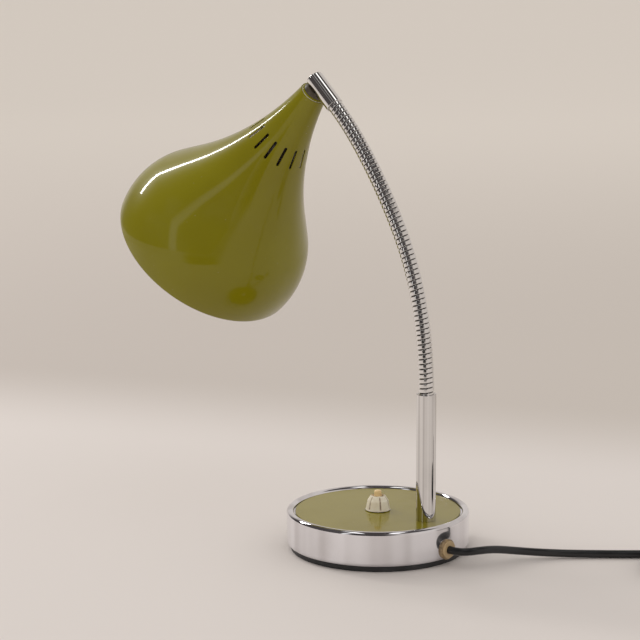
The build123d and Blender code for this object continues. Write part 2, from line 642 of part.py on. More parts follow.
def base_wires():
    """Single wires between the cord, the switch and the connector."""
    level = TROUGH_TOP - BLOCK_HEIGHT / 2
    drop = TROUGH_TOP - CLAMP_CORD_DROP
    low = SWITCH_BOTTOM - TERMINAL_HEIGHT / 2
    block = BLOCK_X - BLOCK_LENGTH / 2
    lug = TERMINAL_WIDTH / 2
    near = BLOCK_Y - BLOCK_HOLE_SPREAD / 2
    far = BLOCK_Y + BLOCK_HOLE_SPREAD / 2
    to_switch = (
        (CORD_END_X, CLAMP_Y - WIRE_SPREAD, drop),
        (CORD_END_X - 4, CLAMP_Y - WIRE_SPREAD, drop),
        (CORD_END_X - 8, CLAMP_Y + WIRE_SPREAD, low),
        (lug + 5, -TERMINAL_SPREAD, low),
        (lug, -TERMINAL_SPREAD, low),
    )
    from_switch = (
        (lug, TERMINAL_SPREAD, low),
        (lug + 4, TERMINAL_SPREAD, low),
        (lug + 9, TERMINAL_SPREAD + 5, low),
        (block - 5, far, level),
        (block + 4, far, level),
    )
    straight = (
        (CORD_END_X, CLAMP_Y + WIRE_SPREAD, drop),
        (CORD_END_X - 3, CLAMP_Y + WIRE_SPREAD, drop),
        (CORD_END_X - 6, CLAMP_Y + 6, drop - 2),
        (block - 4, near - 4, level - 2),
        (block - 3.4, near, level),
        (block + 3, near, level),
    )
    return [routed(points, WIRE_RADIUS) for points in (to_switch, from_switch, straight)]


def neck_point(distance):
    """Place and lean of the neck's centre line, a distance along it from the stem's top.

    Returns the reach towards -X, the height and the lean from upright in degrees.
    """
    reach, height, lean = 0.0, STEM_TOP, 0.0
    left = distance
    for length, turn in NECK_BENDS:
        share = min(max(left, 0.0), length)
        radius = length / math.radians(turn)
        start = math.radians(lean)
        end = start + share / radius
        reach += radius * (math.cos(start) - math.cos(end))
        height += radius * (math.sin(end) - math.sin(start))
        lean = math.degrees(end)
        left -= share
    height += min(distance, 0.0)
    reach += max(left, 0.0) * math.sin(math.radians(lean))
    height += max(left, 0.0) * math.cos(math.radians(lean))
    return reach, height, lean


def neck_vertex(distance):
    """The neck's centre line as a vector in the lamp's frame."""
    reach, height, lean = neck_point(distance)
    return Vector(STEM_X - reach, STEM_Y, height)


def hinge_distance(index):
    """Distance along the neck to the joint below a section; section 0 is in the stem."""
    return index * SECTION_LENGTH - NECK_IN_STEM


def neck_plane(index):
    """Frame of a section: its origin at the joint below it, +Z up the neck, +X to the outside."""
    low = neck_vertex(hinge_distance(index))
    last = MOVING_SECTIONS + 1
    if index == 0:
        along = Vector(0, 0, 1)
    elif index == last:
        along = sleeve_direction()
    else:
        along = neck_vertex(hinge_distance(index + 1)) - low
    across = Vector(0, 1, 0)
    return Plane(origin=low, x_dir=across.cross(along), z_dir=along)


def sleeve_direction():
    """Way from the sleeve's mouth to its closed end."""
    lean = math.radians(NECK_TURN)
    return Vector(-math.sin(lean), 0, math.cos(lean))


def head_centre():
    """Where the shade's axis crosses the sleeve's axis."""
    mouth = neck_plane(MOVING_SECTIONS + 1).origin
    visible = sum(length for length, turn in NECK_BENDS) - hinge_distance(MOVING_SECTIONS + 1)
    return mouth + sleeve_direction() * (visible + SLEEVE_TO_PIPE)


def head_plane():
    """Frame of the head: +Z down the shade's axis, +X towards the sleeve's closed end."""
    along = sleeve_direction()
    return Plane(origin=head_centre(), x_dir=along, z_dir=along.cross(Vector(0, 1, 0)))


def neck_section():
    """One wound section of the gooseneck, standing on Z from height 0."""
    outline = [
        (NECK_RADIUS, BAND_CREST / 2),
        (NECK_ROOT_RADIUS, BAND_ROOT / 2),
        (NECK_ROOT_RADIUS, -BAND_ROOT / 2),
        (NECK_RADIUS, -BAND_CREST / 2),
    ]
    return wound_band(outline, NECK_PITCH, TURNS_PER_SECTION, FACETS_PER_TURN, BUTT_GAP)


def end_sleeve():
    """Chrome sleeve: a socket for the neck, a wire passage and the shade's threaded cross hole."""
    low = -SLEEVE_TO_PIPE
    high = SLEEVE_LENGTH - SLEEVE_TO_PIPE
    body = rod(SLEEVE_RADIUS, low, high)
    body = fillet(body.edges().group_by(Axis.Z)[-1], SLEEVE_EDGE)
    body -= rod(NECK_RADIUS + SLEEVE_BORE_GAP, low, low + SLEEVE_SOCKET)
    body -= rod(PIPE_BORE, low, HEAD_PIPE_BORE)
    body = Rot(0, 90, 0) * body
    body -= rod(HEAD_PIPE_RADIUS + THREAD_GAP, HEAD_PIPE_START, SLEEVE_RADIUS + 1)
    return body


def head_pipe():
    """Threaded pipe from the sleeve through the shade to the lampholder."""
    return tube(HEAD_PIPE_RADIUS, HEAD_PIPE_BORE, HEAD_PIPE_START, HOLDER_TOP + HOLDER_PIPE_RADIUS)


def seat_washer():
    """Black washer between the sleeve and the shade's neck."""
    return tube(SEAT_WASHER_RADIUS, HEAD_PIPE_RADIUS + HOLE_GAP, SLEEVE_RADIUS + SEAT_GAP, SHADE_TOP)


def shade_profile(offset):
    """Edges of the shade's side from neck to rim, moved inwards by the offset, and their two ends."""
    first = math.radians(NECK_SLOPE)
    flare = math.radians(FLARE_SLOPE)
    rim = math.radians(RIM_SLOPE)
    neck = Vector(SHADE_NECK_RADIUS, 0, SHADE_TOP + SHADE_NECK_CORNER)
    flare_centre = neck + Vector(math.cos(first), 0, -math.sin(first)) * FLARE_RADIUS
    flare_end = flare_centre - Vector(math.cos(flare), 0, -math.sin(flare)) * FLARE_RADIUS
    cone_end = flare_end + Vector(math.sin(flare), 0, math.cos(flare)) * CONE_LENGTH
    belly_centre = cone_end - Vector(math.cos(flare), 0, -math.sin(flare)) * BELLY_RADIUS

    def on_flare(angle):
        return flare_centre - Vector(math.cos(angle), 0, -math.sin(angle)) * (FLARE_RADIUS + offset)

    def on_belly(angle):
        return belly_centre + Vector(math.cos(angle), 0, -math.sin(angle)) * (BELLY_RADIUS - offset)

    start = on_flare(first)
    flare_out = on_flare(flare)
    cone_out = on_belly(flare)
    end = on_belly(-rim)
    edges = [
        ThreePointArc(start, on_flare((first + flare) / 2), flare_out),
        Line(flare_out, cone_out),
        ThreePointArc(cone_out, on_belly((flare - rim) / 2), end),
    ]
    return edges, start, end


def shade_radius(height):
    """Outer radius of the shade's flare at a height from the sleeve's axis."""
    first = math.radians(NECK_SLOPE)
    rise = height - SHADE_TOP - SHADE_NECK_CORNER
    angle = math.asin(math.sin(first) + rise / FLARE_RADIUS)
    return SHADE_NECK_RADIUS + FLARE_RADIUS * (math.cos(first) - math.cos(angle)), math.degrees(angle)


def shade():
    """Spun shade with a closed top, fourteen air slots round its neck and a cut rim."""
    outside, outer_start, outer_end = shade_profile(0)
    inside, inner_start, inner_end = shade_profile(SHADE_WALL)
    inner_top = Vector(inner_start.X, 0, SHADE_TOP + SHADE_WALL)
    corner = SHADE_NECK_CORNER
    hole = HEAD_PIPE_RADIUS + HOLE_GAP
    shoulder = Vector(outer_start.X - corner, 0, SHADE_TOP)
    edges = [
        Line((hole, 0, SHADE_TOP), shoulder),
        arc((shoulder.X, shoulder.Z), (outer_start.X, outer_start.Z), (shoulder.X, outer_start.Z)),
        *outside,
        Line(outer_end, inner_end),
        *inside,
    ]
    edges.append(Line(inner_start, inner_top))
    edges.append(Line(inner_top, (hole, 0, inner_top.Z)))
    edges.append(Line((hole, 0, inner_top.Z), (hole, 0, SHADE_TOP)))
    body = turned(edges)
    radius, lean = shade_radius((SLOT_START + SLOT_END) / 2)
    length = (SLOT_END - SLOT_START) / math.cos(math.radians(lean))
    slot = extrude(SlotOverall(length, SLOT_WIDTH), SLOT_WIDTH, both=True)
    cutter = Pos(radius, 0, (SLOT_START + SLOT_END) / 2) * Rot(0, 90 + lean, 0) * slot
    for place in around(SLOT_COUNT, 0, 180 / SLOT_COUNT):
        body -= place * cutter
    return body


def shade_nut():
    """Nut inside the shade's neck that clamps the shade to the sleeve."""
    low = SHADE_TOP + SHADE_WALL
    return hexagon(NUT_CORNERS, HEAD_PIPE_RADIUS + THREAD_GAP, low, low + SHADE_NUT_HEIGHT)


def holder_cap():
    """Domed cap of the lampholder, screwed on the pipe."""
    low = HOLDER_TOP
    shoulder = low + HOLDER_SHOULDER
    high = low + HOLDER_CAP_LENGTH
    inner = HOLDER_RADIUS - HOLDER_WALL
    thread = HEAD_PIPE_RADIUS + THREAD_GAP
    return turned_points(
        [
            (thread, low),
            (HOLDER_PIPE_RADIUS + HOLDER_WALL, low),
            (HOLDER_PIPE_RADIUS + HOLDER_WALL, low + HOLDER_PIPE_RADIUS / 2),
            (HOLDER_RADIUS - HOLDER_WALL, shoulder - HOLDER_WALL),
            (HOLDER_RADIUS, shoulder),
            (HOLDER_RADIUS, high),
            (inner, high),
            (inner, shoulder),
            (HOLDER_PIPE_RADIUS, low + HOLDER_PIPE_RADIUS),
            (thread, low + HOLDER_PIPE_RADIUS),
        ]
    )


def holder_body():
    """Skirt of the lampholder with a threaded outside."""
    low = HOLDER_TOP + HOLDER_CAP_LENGTH
    return tube(HOLDER_RADIUS, HOLDER_RADIUS - HOLDER_WALL, low, low + HOLDER_LENGTH)


def holder_ring():
    """Screw ring round the lampholder's skirt."""
    low = HOLDER_TOP + HOLDER_CAP_LENGTH + HOLDER_LENGTH / 3
    inner = HOLDER_RADIUS + THREAD_GAP
    return tube(inner + HOLDER_RING_WIDTH, inner, low, low + HOLDER_RING_HEIGHT)


def holder_insert():
    """Porcelain insert that carries the contacts."""
    low = HOLDER_TOP + HOLDER_CAP_LENGTH
    return rod(HOLDER_RADIUS - HOLDER_WALL - INSERT_GAP, low, low + INSERT_HEIGHT)


def holder_shell():
    """Threaded brass shell that takes the bulb."""
    low = HOLDER_TOP + HOLDER_CAP_LENGTH + INSERT_HEIGHT
    return tube(SHELL_RADIUS, SHELL_RADIUS - SHELL_WALL, low, low + SHELL_HEIGHT)


def holder_contact():
    """Centre contact on the insert."""
    low = HOLDER_TOP + HOLDER_CAP_LENGTH + INSERT_HEIGHT
    return rod(CONTACT_RADIUS, low, low + CONTACT_HEIGHT)


def bulb_cap():
    """Screw cap of the bulb, standing on the centre contact."""
    low = HOLDER_TOP + HOLDER_CAP_LENGTH + INSERT_HEIGHT + CONTACT_HEIGHT
    tip = CONTACT_RADIUS + 1
    return turned_points(
        [
            (0, low),
            (tip, low),
            (BULB_CAP_RADIUS, low + CONTACT_HEIGHT),
            (BULB_CAP_RADIUS, low + BULB_CAP_LENGTH),
            (BULB_CAP_RADIUS - BULB_WALL, low + BULB_CAP_LENGTH),
            (BULB_CAP_RADIUS - BULB_WALL, low + 2 * CONTACT_HEIGHT),
            (0, low + 2 * CONTACT_HEIGHT),
        ]
    )


def bulb_glass():
    """Pear-shaped hollow bulb: a round end, a tapering neck and a collar down inside the cap."""
    low = HOLDER_TOP + HOLDER_CAP_LENGTH + INSERT_HEIGHT + CONTACT_HEIGHT + BULB_CAP_LENGTH
    tip = low + BULB_LENGTH
    middle = tip - BULB_RADIUS
    reach = middle - low
    # the straight neck is tangent to the round end
    across = math.hypot(reach, BULB_NECK_RADIUS)
    lean = math.atan2(reach, BULB_NECK_RADIUS) - math.acos(BULB_RADIUS / across)
    inner = BULB_RADIUS - BULB_WALL
    side = (math.cos(lean), -math.sin(lean))
    edge = (BULB_RADIUS * side[0], middle + BULB_RADIUS * side[1])
    inner_edge = (inner * side[0], middle + inner * side[1])
    shelf = low + BULB_WALL
    neck = BULB_NECK_RADIUS - BULB_WALL / side[0] + BULB_WALL * math.tan(lean)
    collar = BULB_CAP_RADIUS - BULB_WALL - HOLE_GAP
    bore = collar - BULB_WALL
    edges = [
        line((bore, low - BULB_COLLAR), (collar, low - BULB_COLLAR)),
        line((collar, low - BULB_COLLAR), (collar, low)),
        line((collar, low), (BULB_NECK_RADIUS, low)),
        line((BULB_NECK_RADIUS, low), edge),
        arc(edge, (0, tip), (0, middle)),
        line((0, tip), (0, middle + inner)),
        arc((0, middle + inner), inner_edge, (0, middle)),
        line(inner_edge, (neck, shelf)),
        line((neck, shelf), (bore, shelf)),
        line((bore, shelf), (bore, low - BULB_COLLAR)),
    ]
    return turned(edges)


def lamp_wires():
    """Two single wires from the connector up the stem, along the neck and down to the lampholder."""
    level = TROUGH_TOP - BLOCK_HEIGHT / 2
    block = BLOCK_X + BLOCK_LENGTH / 2
    head = head_plane()
    wires = []
    for side in (-1, 1):
        shift = Vector(0, side * WIRE_SPREAD, 0)
        points = [
            Vector(block - 4, BLOCK_Y + side * BLOCK_HOLE_SPREAD / 2, level),
            Vector(block + 2, BLOCK_Y + side * BLOCK_HOLE_SPREAD / 2, level),
            Vector(STEM_X - 8, STEM_Y, PIPE_BOTTOM - 3) + shift,
            Vector(STEM_X, STEM_Y, PIPE_BOTTOM - 3) + shift,
        ]
        points += [neck_vertex(hinge_distance(index)) + shift for index in range(1, MOVING_SECTIONS + 2, 2)]
        points.append(head.origin - head.x_dir * WIRE_CORNER + shift)
        points.append(head.origin + head.z_dir * WIRE_CORNER + shift)
        points.append(head.origin + head.z_dir * (HOLDER_TOP + HOLDER_CAP_LENGTH - 1) + shift)
        wires.append(routed([tuple(point) for point in points], WIRE_RADIUS))
    return wires


def coil_turns():
    """Half circles of the coil: in on the lower layer, up a layer, and out on the upper one.

    Returns the half circles as edges, the point where the last one ends and its direction.
    """
    point = Vector(*CORD_ROUTE[-1])
    along = (point - Vector(*CORD_ROUTE[-2])).normalized()
    inwards = [COIL_RADIUS - COIL_SPACING / 2 * k for k in range(2 * COIL_TURNS)]
    climb = COIL_RADIUS - COIL_SPACING * COIL_TURNS
    outwards = inwards[::-1] + [COIL_RADIUS + COIL_SPACING / 2]
    radii = inwards + [climb] + outwards
    rises = [0.0] * len(inwards) + [COIL_SPACING] + [0.0] * len(outwards)
    turns = []
    for radius, rise in zip(radii, rises):
        across = along.cross(Vector(0, 0, 1))
        end = point + across * (2 * radius) + Vector(0, 0, rise)
        middle = (point + end) * 0.5 + along * ((end - point).length / 2)
        turns.append(ThreePointArc(point, middle, end))
        point, along = end, along * -1
    return turns, point, along


def cord_coil():
    """The spare cord, wound flat in two layers."""
    turns, end, along = coil_turns()
    path = Wire(turns)
    start = Plane(origin=path @ 0, z_dir=path % 0)
    return sweep(start * RegularPolygon(CORD_RADIUS, COIL_SIDES), path=path)


def tail_points():
    """The cord's last stretch, from the coil to the plug."""
    turns, end, along = coil_turns()
    return [(end.X + along.X * way, end.Y + along.Y * way, height) for way, height in TAIL_ROUTE]


def plug_plane():
    """Frame of the plug: its origin where the cord enters, +Z towards the pins."""
    turns, end, along = coil_turns()
    return Plane(origin=tail_points()[-1], z_dir=along)


def plug_boot():
    """Tapered strain relief behind the plug."""
    return turned_points(
        [
            (CORD_RADIUS + CORD_GAP, 0),
            (PLUG_BOOT_END, 0),
            (PLUG_BOOT_RADIUS, PLUG_BOOT_LENGTH),
            (CORD_RADIUS + CORD_GAP, PLUG_BOOT_LENGTH),
        ]
    )


def plug_body():
    """Round plug body with a waisted back."""
    low = PLUG_BOOT_LENGTH
    high = low + PLUG_LENGTH
    return turned_points(
        [
            (0, low),
            (PLUG_NECK_RADIUS, low),
            (PLUG_RADIUS - 1, low + PLUG_SHOULDER),
            (PLUG_RADIUS, low + PLUG_SHOULDER + 3),
            (PLUG_RADIUS, high - 2),
            (PLUG_FACE_RADIUS, high),
            (0, high),
        ]
    )


def plug_pins():
    """Two round pins."""
    low = PLUG_BOOT_LENGTH + PLUG_LENGTH
    pin = rod(PLUG_PIN_RADIUS, low, low + PLUG_PIN_LENGTH)
    return [Pos(side * PLUG_PIN_SPREAD / 2, 0, 0) * pin for side in (-1, 1)]


def plug_cord_end():
    """The cord inside the boot."""
    return rod(CORD_RADIUS, 0, PLUG_BOOT_LENGTH)


def least_gap(points, apart, thickness):
    """Least clear distance between stretches of a winding, from points along its middle."""
    spots = np.array([tuple(point) for point in points])
    steps = range(apart, len(spots))
    nearest = min(np.linalg.norm(spots[step:] - spots[:-step], axis=1).min() for step in steps)
    return nearest - thickness


def helix_points(radius, pitch, turns):
    """Points along a helix, one for each facet of its band."""
    angles = [2 * math.pi * step / FACETS_PER_TURN for step in range(turns * FACETS_PER_TURN + 1)]
    return [(radius * math.cos(a), radius * math.sin(a), pitch * a / (2 * math.pi)) for a in angles]


def print_measures(cord, tail):
    """Prints the radii and the length of the cord, and the least gaps of the windings."""
    turns, end, along = coil_turns()
    print("cord radii", [round(radius, 1) for radius in corner_radii(CORD_ROUTE)])
    print("tail radii", [round(radius, 1) for radius in corner_radii(tail_points())])
    area = math.pi * CORD_RADIUS**2
    stretch = cord.volume / area
    end_stretch = tail.volume / area
    wound = sum(turn.length for turn in turns)
    print("cord length", round(stretch + wound + end_stretch + PLUG_BOOT_LENGTH, 1))
    path = FilletPolyline(*CORD_ROUTE, radius=corner_radii(CORD_ROUTE))
    print("route volume against section times length", round(cord.volume / (area * path.length), 4))
    spots = [turn @ (step / 24) for turn in turns for step in range(24)]
    print("least gap in the coil", round(least_gap(spots, 24, 2 * CORD_RADIUS), 2))
    band = helix_points(NECK_ROOT_RADIUS, NECK_PITCH, TURNS_PER_SECTION)
    print("least gap in the neck", round(least_gap(band, FACETS_PER_TURN // 2, BAND_ROOT), 2))
    pitch = (BUTTON_BOTTOM - CHAMBER_FLOOR - SPRING_WIRE) / SPRING_TURNS
    spring = helix_points(SPRING_RADIUS, pitch, SPRING_TURNS)
    print("least gap in the spring", round(least_gap(spring, FACETS_PER_TURN // 2, SPRING_WIRE), 2))


def placed(plane, piece):
    """A piece, or each of a list of pieces, moved into a frame."""
    if isinstance(piece, list):
        return [plane.location * one for one in piece]
    return plane.location * piece


def write(name, piece):
    """Writes one sub-part as a STEP file under its name."""
    solids = []
    for one in piece if isinstance(piece, list) else [piece]:
        solids.extend(one.solids())
    shape = solids[0] if len(solids) == 1 else Compound(children=solids)
    export_step(shape, os.path.join("parts", name + ".step"))


def main():
    """Builds every sub-part and writes it."""
    os.makedirs("parts", exist_ok=True)
    write("base_shell", base_shell())
    write("top_plate", top_plate())
    write("base_weight", base_weight())
    write("bottom_cover", bottom_cover())
    write("foot_ring", foot_ring())
    write("cover_screws", cover_screws())
    write("stem_tube", stem_tube())
    write("stem_plug", stem_plug())
    write("stem_pipe", stem_pipe())
    write("stem_washer", stem_washer())
    write("stem_nut", stem_nut())
    write("switch_body", switch_body())
    write("switch_bushing", switch_bushing())
    write("switch_button", switch_button())
    write("switch_spring", switch_spring())
    write("switch_terminals", switch_terminals())
    write("switch_collar", switch_collar())
    write("cord_collar", cord_collar())
    write("cord_in_base", cord_in_base())
    write("cord_clamp", cord_clamp())
    write("clamp_screws", clamp_screws())
    write("connector_block", connector_block())
    write("base_wires", base_wires())
    write("lamp_wires", lamp_wires())
    section = neck_section()
    write("neck_foot", placed(neck_plane(0), section))
    for index in range(1, MOVING_SECTIONS + 1):
        write("neck_section_%02d" % index, placed(neck_plane(index), section))
    write("neck_tip", placed(neck_plane(MOVING_SECTIONS + 1), section))
    head = head_plane()
    write("end_sleeve", placed(head, end_sleeve()))
    write("head_pipe", placed(head, head_pipe()))
    write("seat_washer", placed(head, seat_washer()))
    write("shade", placed(head, shade()))
    write("shade_nut", placed(head, shade_nut()))
    write("holder_cap", placed(head, holder_cap()))
    write("holder_body", placed(head, holder_body()))
    write("holder_ring", placed(head, holder_ring()))
    write("holder_insert", placed(head, holder_insert()))
    write("holder_shell", placed(head, holder_shell()))
    write("holder_contact", placed(head, holder_contact()))
    write("bulb_cap", placed(head, bulb_cap()))
    write("bulb_glass", placed(head, bulb_glass()))
    cord = routed(CORD_ROUTE, CORD_RADIUS)
    tail = routed(tail_points(), CORD_RADIUS)
    write("table_cord", cord)
    write("cord_coil", cord_coil())
    write("cord_tail", tail)
    plug = plug_plane()
    write("plug_boot", placed(plug, plug_boot()))
    write("plug_body", placed(plug, plug_body()))
    write("plug_pins", placed(plug, plug_pins()))
    write("plug_cord_end", placed(plug, plug_cord_end()))
    print_measures(cord, tail)


main()
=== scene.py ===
"""Gooseneck desk lamp: smooth visual meshes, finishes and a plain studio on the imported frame."""

import logging
import math
from dataclasses import dataclass
from enum import Enum
from typing import Iterable, Optional, Sequence, Union

import bmesh
import bpy
import numpy as np
from mathutils import Matrix, Vector


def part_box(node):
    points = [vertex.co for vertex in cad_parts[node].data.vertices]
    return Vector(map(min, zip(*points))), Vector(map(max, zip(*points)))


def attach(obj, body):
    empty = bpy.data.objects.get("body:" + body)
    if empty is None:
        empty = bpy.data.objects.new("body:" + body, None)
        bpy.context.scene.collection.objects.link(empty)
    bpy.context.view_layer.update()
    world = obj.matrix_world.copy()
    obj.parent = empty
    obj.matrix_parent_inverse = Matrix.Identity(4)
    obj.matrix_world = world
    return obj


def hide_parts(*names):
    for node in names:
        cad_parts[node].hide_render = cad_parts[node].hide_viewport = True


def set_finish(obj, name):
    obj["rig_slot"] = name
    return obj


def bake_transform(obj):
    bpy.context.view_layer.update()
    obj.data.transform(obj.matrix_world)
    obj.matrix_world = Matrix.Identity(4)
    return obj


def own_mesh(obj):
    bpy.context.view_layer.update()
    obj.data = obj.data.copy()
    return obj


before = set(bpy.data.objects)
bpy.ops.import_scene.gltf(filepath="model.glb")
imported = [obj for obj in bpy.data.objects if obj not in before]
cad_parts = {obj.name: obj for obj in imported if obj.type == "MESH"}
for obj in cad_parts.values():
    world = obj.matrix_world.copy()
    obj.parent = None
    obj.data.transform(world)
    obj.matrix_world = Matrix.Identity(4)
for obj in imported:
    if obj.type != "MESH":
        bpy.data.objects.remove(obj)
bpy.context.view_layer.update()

LOG = logging.getLogger("desk_lamp")
MM = 0.001
TAU = 2.0 * math.pi
WELD_DISTANCE = 2e-7
Value = Union["Tap", float, int, Sequence[float]]
Colour = tuple[float, float, float]


class Slot(Enum):
    """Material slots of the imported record."""

    CHROME = "chrome"
    GREEN = "green_enamel"
    IRON = "cast_iron"
    STEEL = "steel"
    RUBBER = "black_rubber"
    BRASS = "brass"
    DARK = "dark_moulding"
    IVORY = "ivory_moulding"
    OCHRE = "ochre_plastic"
    TAN = "tan_plastic"
    PORCELAIN = "porcelain"
    BLACK = "black_plastic"
    GLASS = "opal_glass"
    ALUMINIUM = "aluminium"


def linear(red: int, green: int, blue: int) -> Colour:
    """A display colour from 0 to 255 as scene-linear light.

    Args:
        red: Red level.
        green: Green level.
        blue: Blue level.

    Returns:
        The three linear values, by the standard display curve.
    """
    levels = np.array([red, green, blue], float) / 255.0
    curve = np.where(levels <= 0.04045, levels / 12.92, ((levels + 0.055) / 1.055) ** 2.4)
    return tuple(float(level) for level in curve)


class Tap:
    """An output socket of a node tree, with arithmetic that adds the nodes it needs."""

    def __init__(self, graph: "Graph", socket: bpy.types.NodeSocket) -> None:
        """Keeps the tree that the socket belongs to."""
        self.graph = graph
        self.socket = socket

    def _join(self, operation: str, left: Value, right: Value) -> "Tap":
        """Adds a Math node, or a Vector Math node if a side is a vector or a colour.

        Args:
            operation: The node's operation.
            left: First input, a socket or a number.
            right: Second input, a socket or a number.

        Returns:
            The node's output.
        """
        wide = any(isinstance(side, Tap) and side.socket.type != "VALUE" for side in (left, right))
        kind = "ShaderNodeVectorMath" if wide else "ShaderNodeMath"
        sides = [(side,) * 3 if wide and isinstance(side, (int, float)) else side for side in (left, right)]
        return self.graph.node(kind, {"operation": operation}, {0: sides[0], 1: sides[1]})

    def __add__(self, other: Value) -> "Tap":
        """Sum."""
        return self._join("ADD", self, other)

    def __radd__(self, other: Value) -> "Tap":
        """Sum with a plain value in front."""
        return self._join("ADD", other, self)

    def __sub__(self, other: Value) -> "Tap":
        """Difference."""
        return self._join("SUBTRACT", self, other)

    def __rsub__(self, other: Value) -> "Tap":
        """Difference from a plain value."""
        return self._join("SUBTRACT", other, self)

    def __mul__(self, other: Value) -> "Tap":
        """Product."""
        return self._join("MULTIPLY", self, other)

    def __rmul__(self, other: Value) -> "Tap":
        """Product with a plain value in front."""
        return self._join("MULTIPLY", other, self)

    def ramp(self, low: float, high: float) -> "Tap":
        """Smooth step that is 0 at low and 1 at high.

        Args:
            low: Value that becomes 0.
            high: Value that becomes 1.

        Returns:
            The stepped value.
        """
        limits = {"From Min": low, "From Max": high, "Value": self}
        return self.graph.node("ShaderNodeMapRange", {"interpolation_type": "SMOOTHSTEP"}, limits)

    def blend(self, clear: Value, full: Value) -> "Tap":
        """Colour between two colours, with this value as the share of the second.

        Args:
            clear: Colour where this value is 0.
            full: Colour where this value is 1.

        Returns:
            The mixed colour.
        """
        ends = {0: self, 6: self.graph.opaque(clear), 7: self.graph.opaque(full)}
        return self.graph.node("ShaderNodeMix", {"data_type": "RGBA"}, ends, 2)

    def part(self, axis: int) -> "Tap":
        """One component of a vector, 0 to 2."""
        return self.graph.node("ShaderNodeSeparateXYZ", {}, {0: self}, axis)

    def along(self, way: Sequence[float]) -> "Tap":
        """How far a vector reaches along a level direction: x dx + y dy."""
        return self.part(0) * way[0] + self.part(1) * way[1]


class Graph:
    """The node tree of one material or of the world."""

    def __init__(self, tree: bpy.types.NodeTree) -> None:
        """Empties the tree."""
        self.tree = tree
        self.tree.nodes.clear()

    @staticmethod
    def opaque(colour: Value) -> Value:
        """A plain colour with full alpha; a socket stays as it is."""
        return colour if isinstance(colour, Tap) else (*colour[:3], 1.0)

    def node(
        self,
        kind: str,
        settings: Optional[dict[str, object]] = None,
        inputs: Optional[dict[Union[str, int], Value]] = None,
        output: Union[int, str, None] = 0,
    ) -> Optional[Tap]:
        """Adds one node.

        Args:
            kind: Node type.
            settings: Attributes of the node, set before its sockets.
            inputs: Plain values or sockets by input name or number.
            output: Name or number of the output wanted, or None.

        Returns:
            The output, or None.
        """
        made = self.tree.nodes.new(kind)
        made.location = (190.0 * (len(self.tree.nodes) % 9), -230.0 * (len(self.tree.nodes) // 9))
        for name, value in (settings or {}).items():
            setattr(made, name, value)
        for name, value in (inputs or {}).items():
            if isinstance(value, Tap):
                self.tree.links.new(value.socket, made.inputs[name])
            else:
                made.inputs[name].default_value = value
        return None if output is None else Tap(self, made.outputs[output])

    def place(self, stretch: Sequence[float] = (1.0, 1.0, 1.0)) -> Tap:
        """Object coordinates, stretched along the three axes.

        Args:
            stretch: Factor for each axis.

        Returns:
            The coordinates.
        """
        return self.node("ShaderNodeTexCoord", {}, {}, "Object") * tuple(stretch)

    def noise(self, scale: float, detail: float = 3.0, stretch: Sequence[float] = (1.0, 1.0, 1.0)) -> Tap:
        """Fractal noise in object coordinates.

        Args:
            scale: Features in a metre.
            detail: Octaves.
            stretch: Factor for each axis.

        Returns:
            Values around 0.5.
        """
        sockets = {"Vector": self.place(stretch), "Scale": scale, "Detail": detail}
        return self.node("ShaderNodeTexNoise", {}, sockets, 0)

    def specks(self, scale: float, size: float) -> Tap:
        """Scattered round specks.

        Args:
            scale: Cells in a metre.
            size: Radius of a speck as a share of its cell.

        Returns:
            1 inside a speck, 0 outside.
        """
        cells = self.node("ShaderNodeTexVoronoi", {}, {"Vector": self.place(), "Scale": scale}, "Distance")
        return 1.0 - cells.ramp(size * 0.5, size)

    def bump(self, height: Tap, strength: float, depth: float) -> Tap:
        """Normal tilted by a height.

        Args:
            height: Relief from 0 to 1.
            strength: Share of the relief that shows.
            depth: Size of the relief in metres.

        Returns:
            The normal.
        """
        return self.node("ShaderNodeBump", {}, {"Height": height, "Strength": strength, "Distance": depth})

    def attribute(self, name: str) -> Tap:
        """A value that the mesh carries on its points."""
        return self.node("ShaderNodeAttribute", {"attribute_name": name}, {}, "Fac")


@dataclass(frozen=True)
class Finish:
    """A surface finish: the material's name and the slot of the record that it belongs to."""

    name: str
    slot: Slot

    def sockets(self, graph: Graph) -> dict[str, Value]:
        """Inputs of the surface shader; each kind of finish has its own."""
        raise NotImplementedError

    def material(self) -> bpy.types.Material:
        """The finish as a material, made once.

        Returns:
            The material.
        """
        title = f"lamp_{self.name}"
        known = bpy.data.materials.get(title)
        if known is not None:
            return known
        made = bpy.data.materials.new(title)
        made.use_nodes = True
        graph = Graph(made.node_tree)
        shader = graph.node("ShaderNodeBsdfPrincipled", {}, self.sockets(graph))
        graph.node("ShaderNodeOutputMaterial", {}, {"Surface": shader}, None)
        return made


@dataclass(frozen=True)
class Plated(Finish):
    """Polished metal with faint smears and hairline marks, and optional vertical bands of painted reflection."""

    tint: Colour = (0.8, 0.79, 0.78)
    roughness: float = 0.05
    smear: float = 0.1
    stain: Colour = (0.5, 0.46, 0.42)
    stain_share: float = 0.12
    reflection_bands: float = 0.0
    reflection_band_scale: float = 260.0

    def sockets(self, graph: Graph) -> dict[str, Value]:
        """Roughness rises in the smears, and the tint sinks towards the stain there and in vertical bands of
        painted reflection.
        """
        smears = graph.noise(38.0, 5.0).ramp(0.48, 0.78)
        fine = graph.noise(620.0, 2.0, (1.0, 1.0, 0.15))
        cast = smears * self.stain_share + fine.ramp(0.6, 0.9) * (self.stain_share * 0.4)
        # Vertical bands towards the stain colour: painted reflections of the room.
        if self.reflection_bands:
            cast = cast + graph.noise(self.reflection_band_scale, 1.0, (1.0, 1.0, 0.004)).ramp(0.4, 0.66) * self.reflection_bands
        return {
            "Base Color": cast.blend(self.tint, self.stain),
            "Metallic": 1.0,
            "Roughness": smears * self.smear + self.roughness,
            "Normal": graph.bump(fine, 0.04, 0.00006),
        }


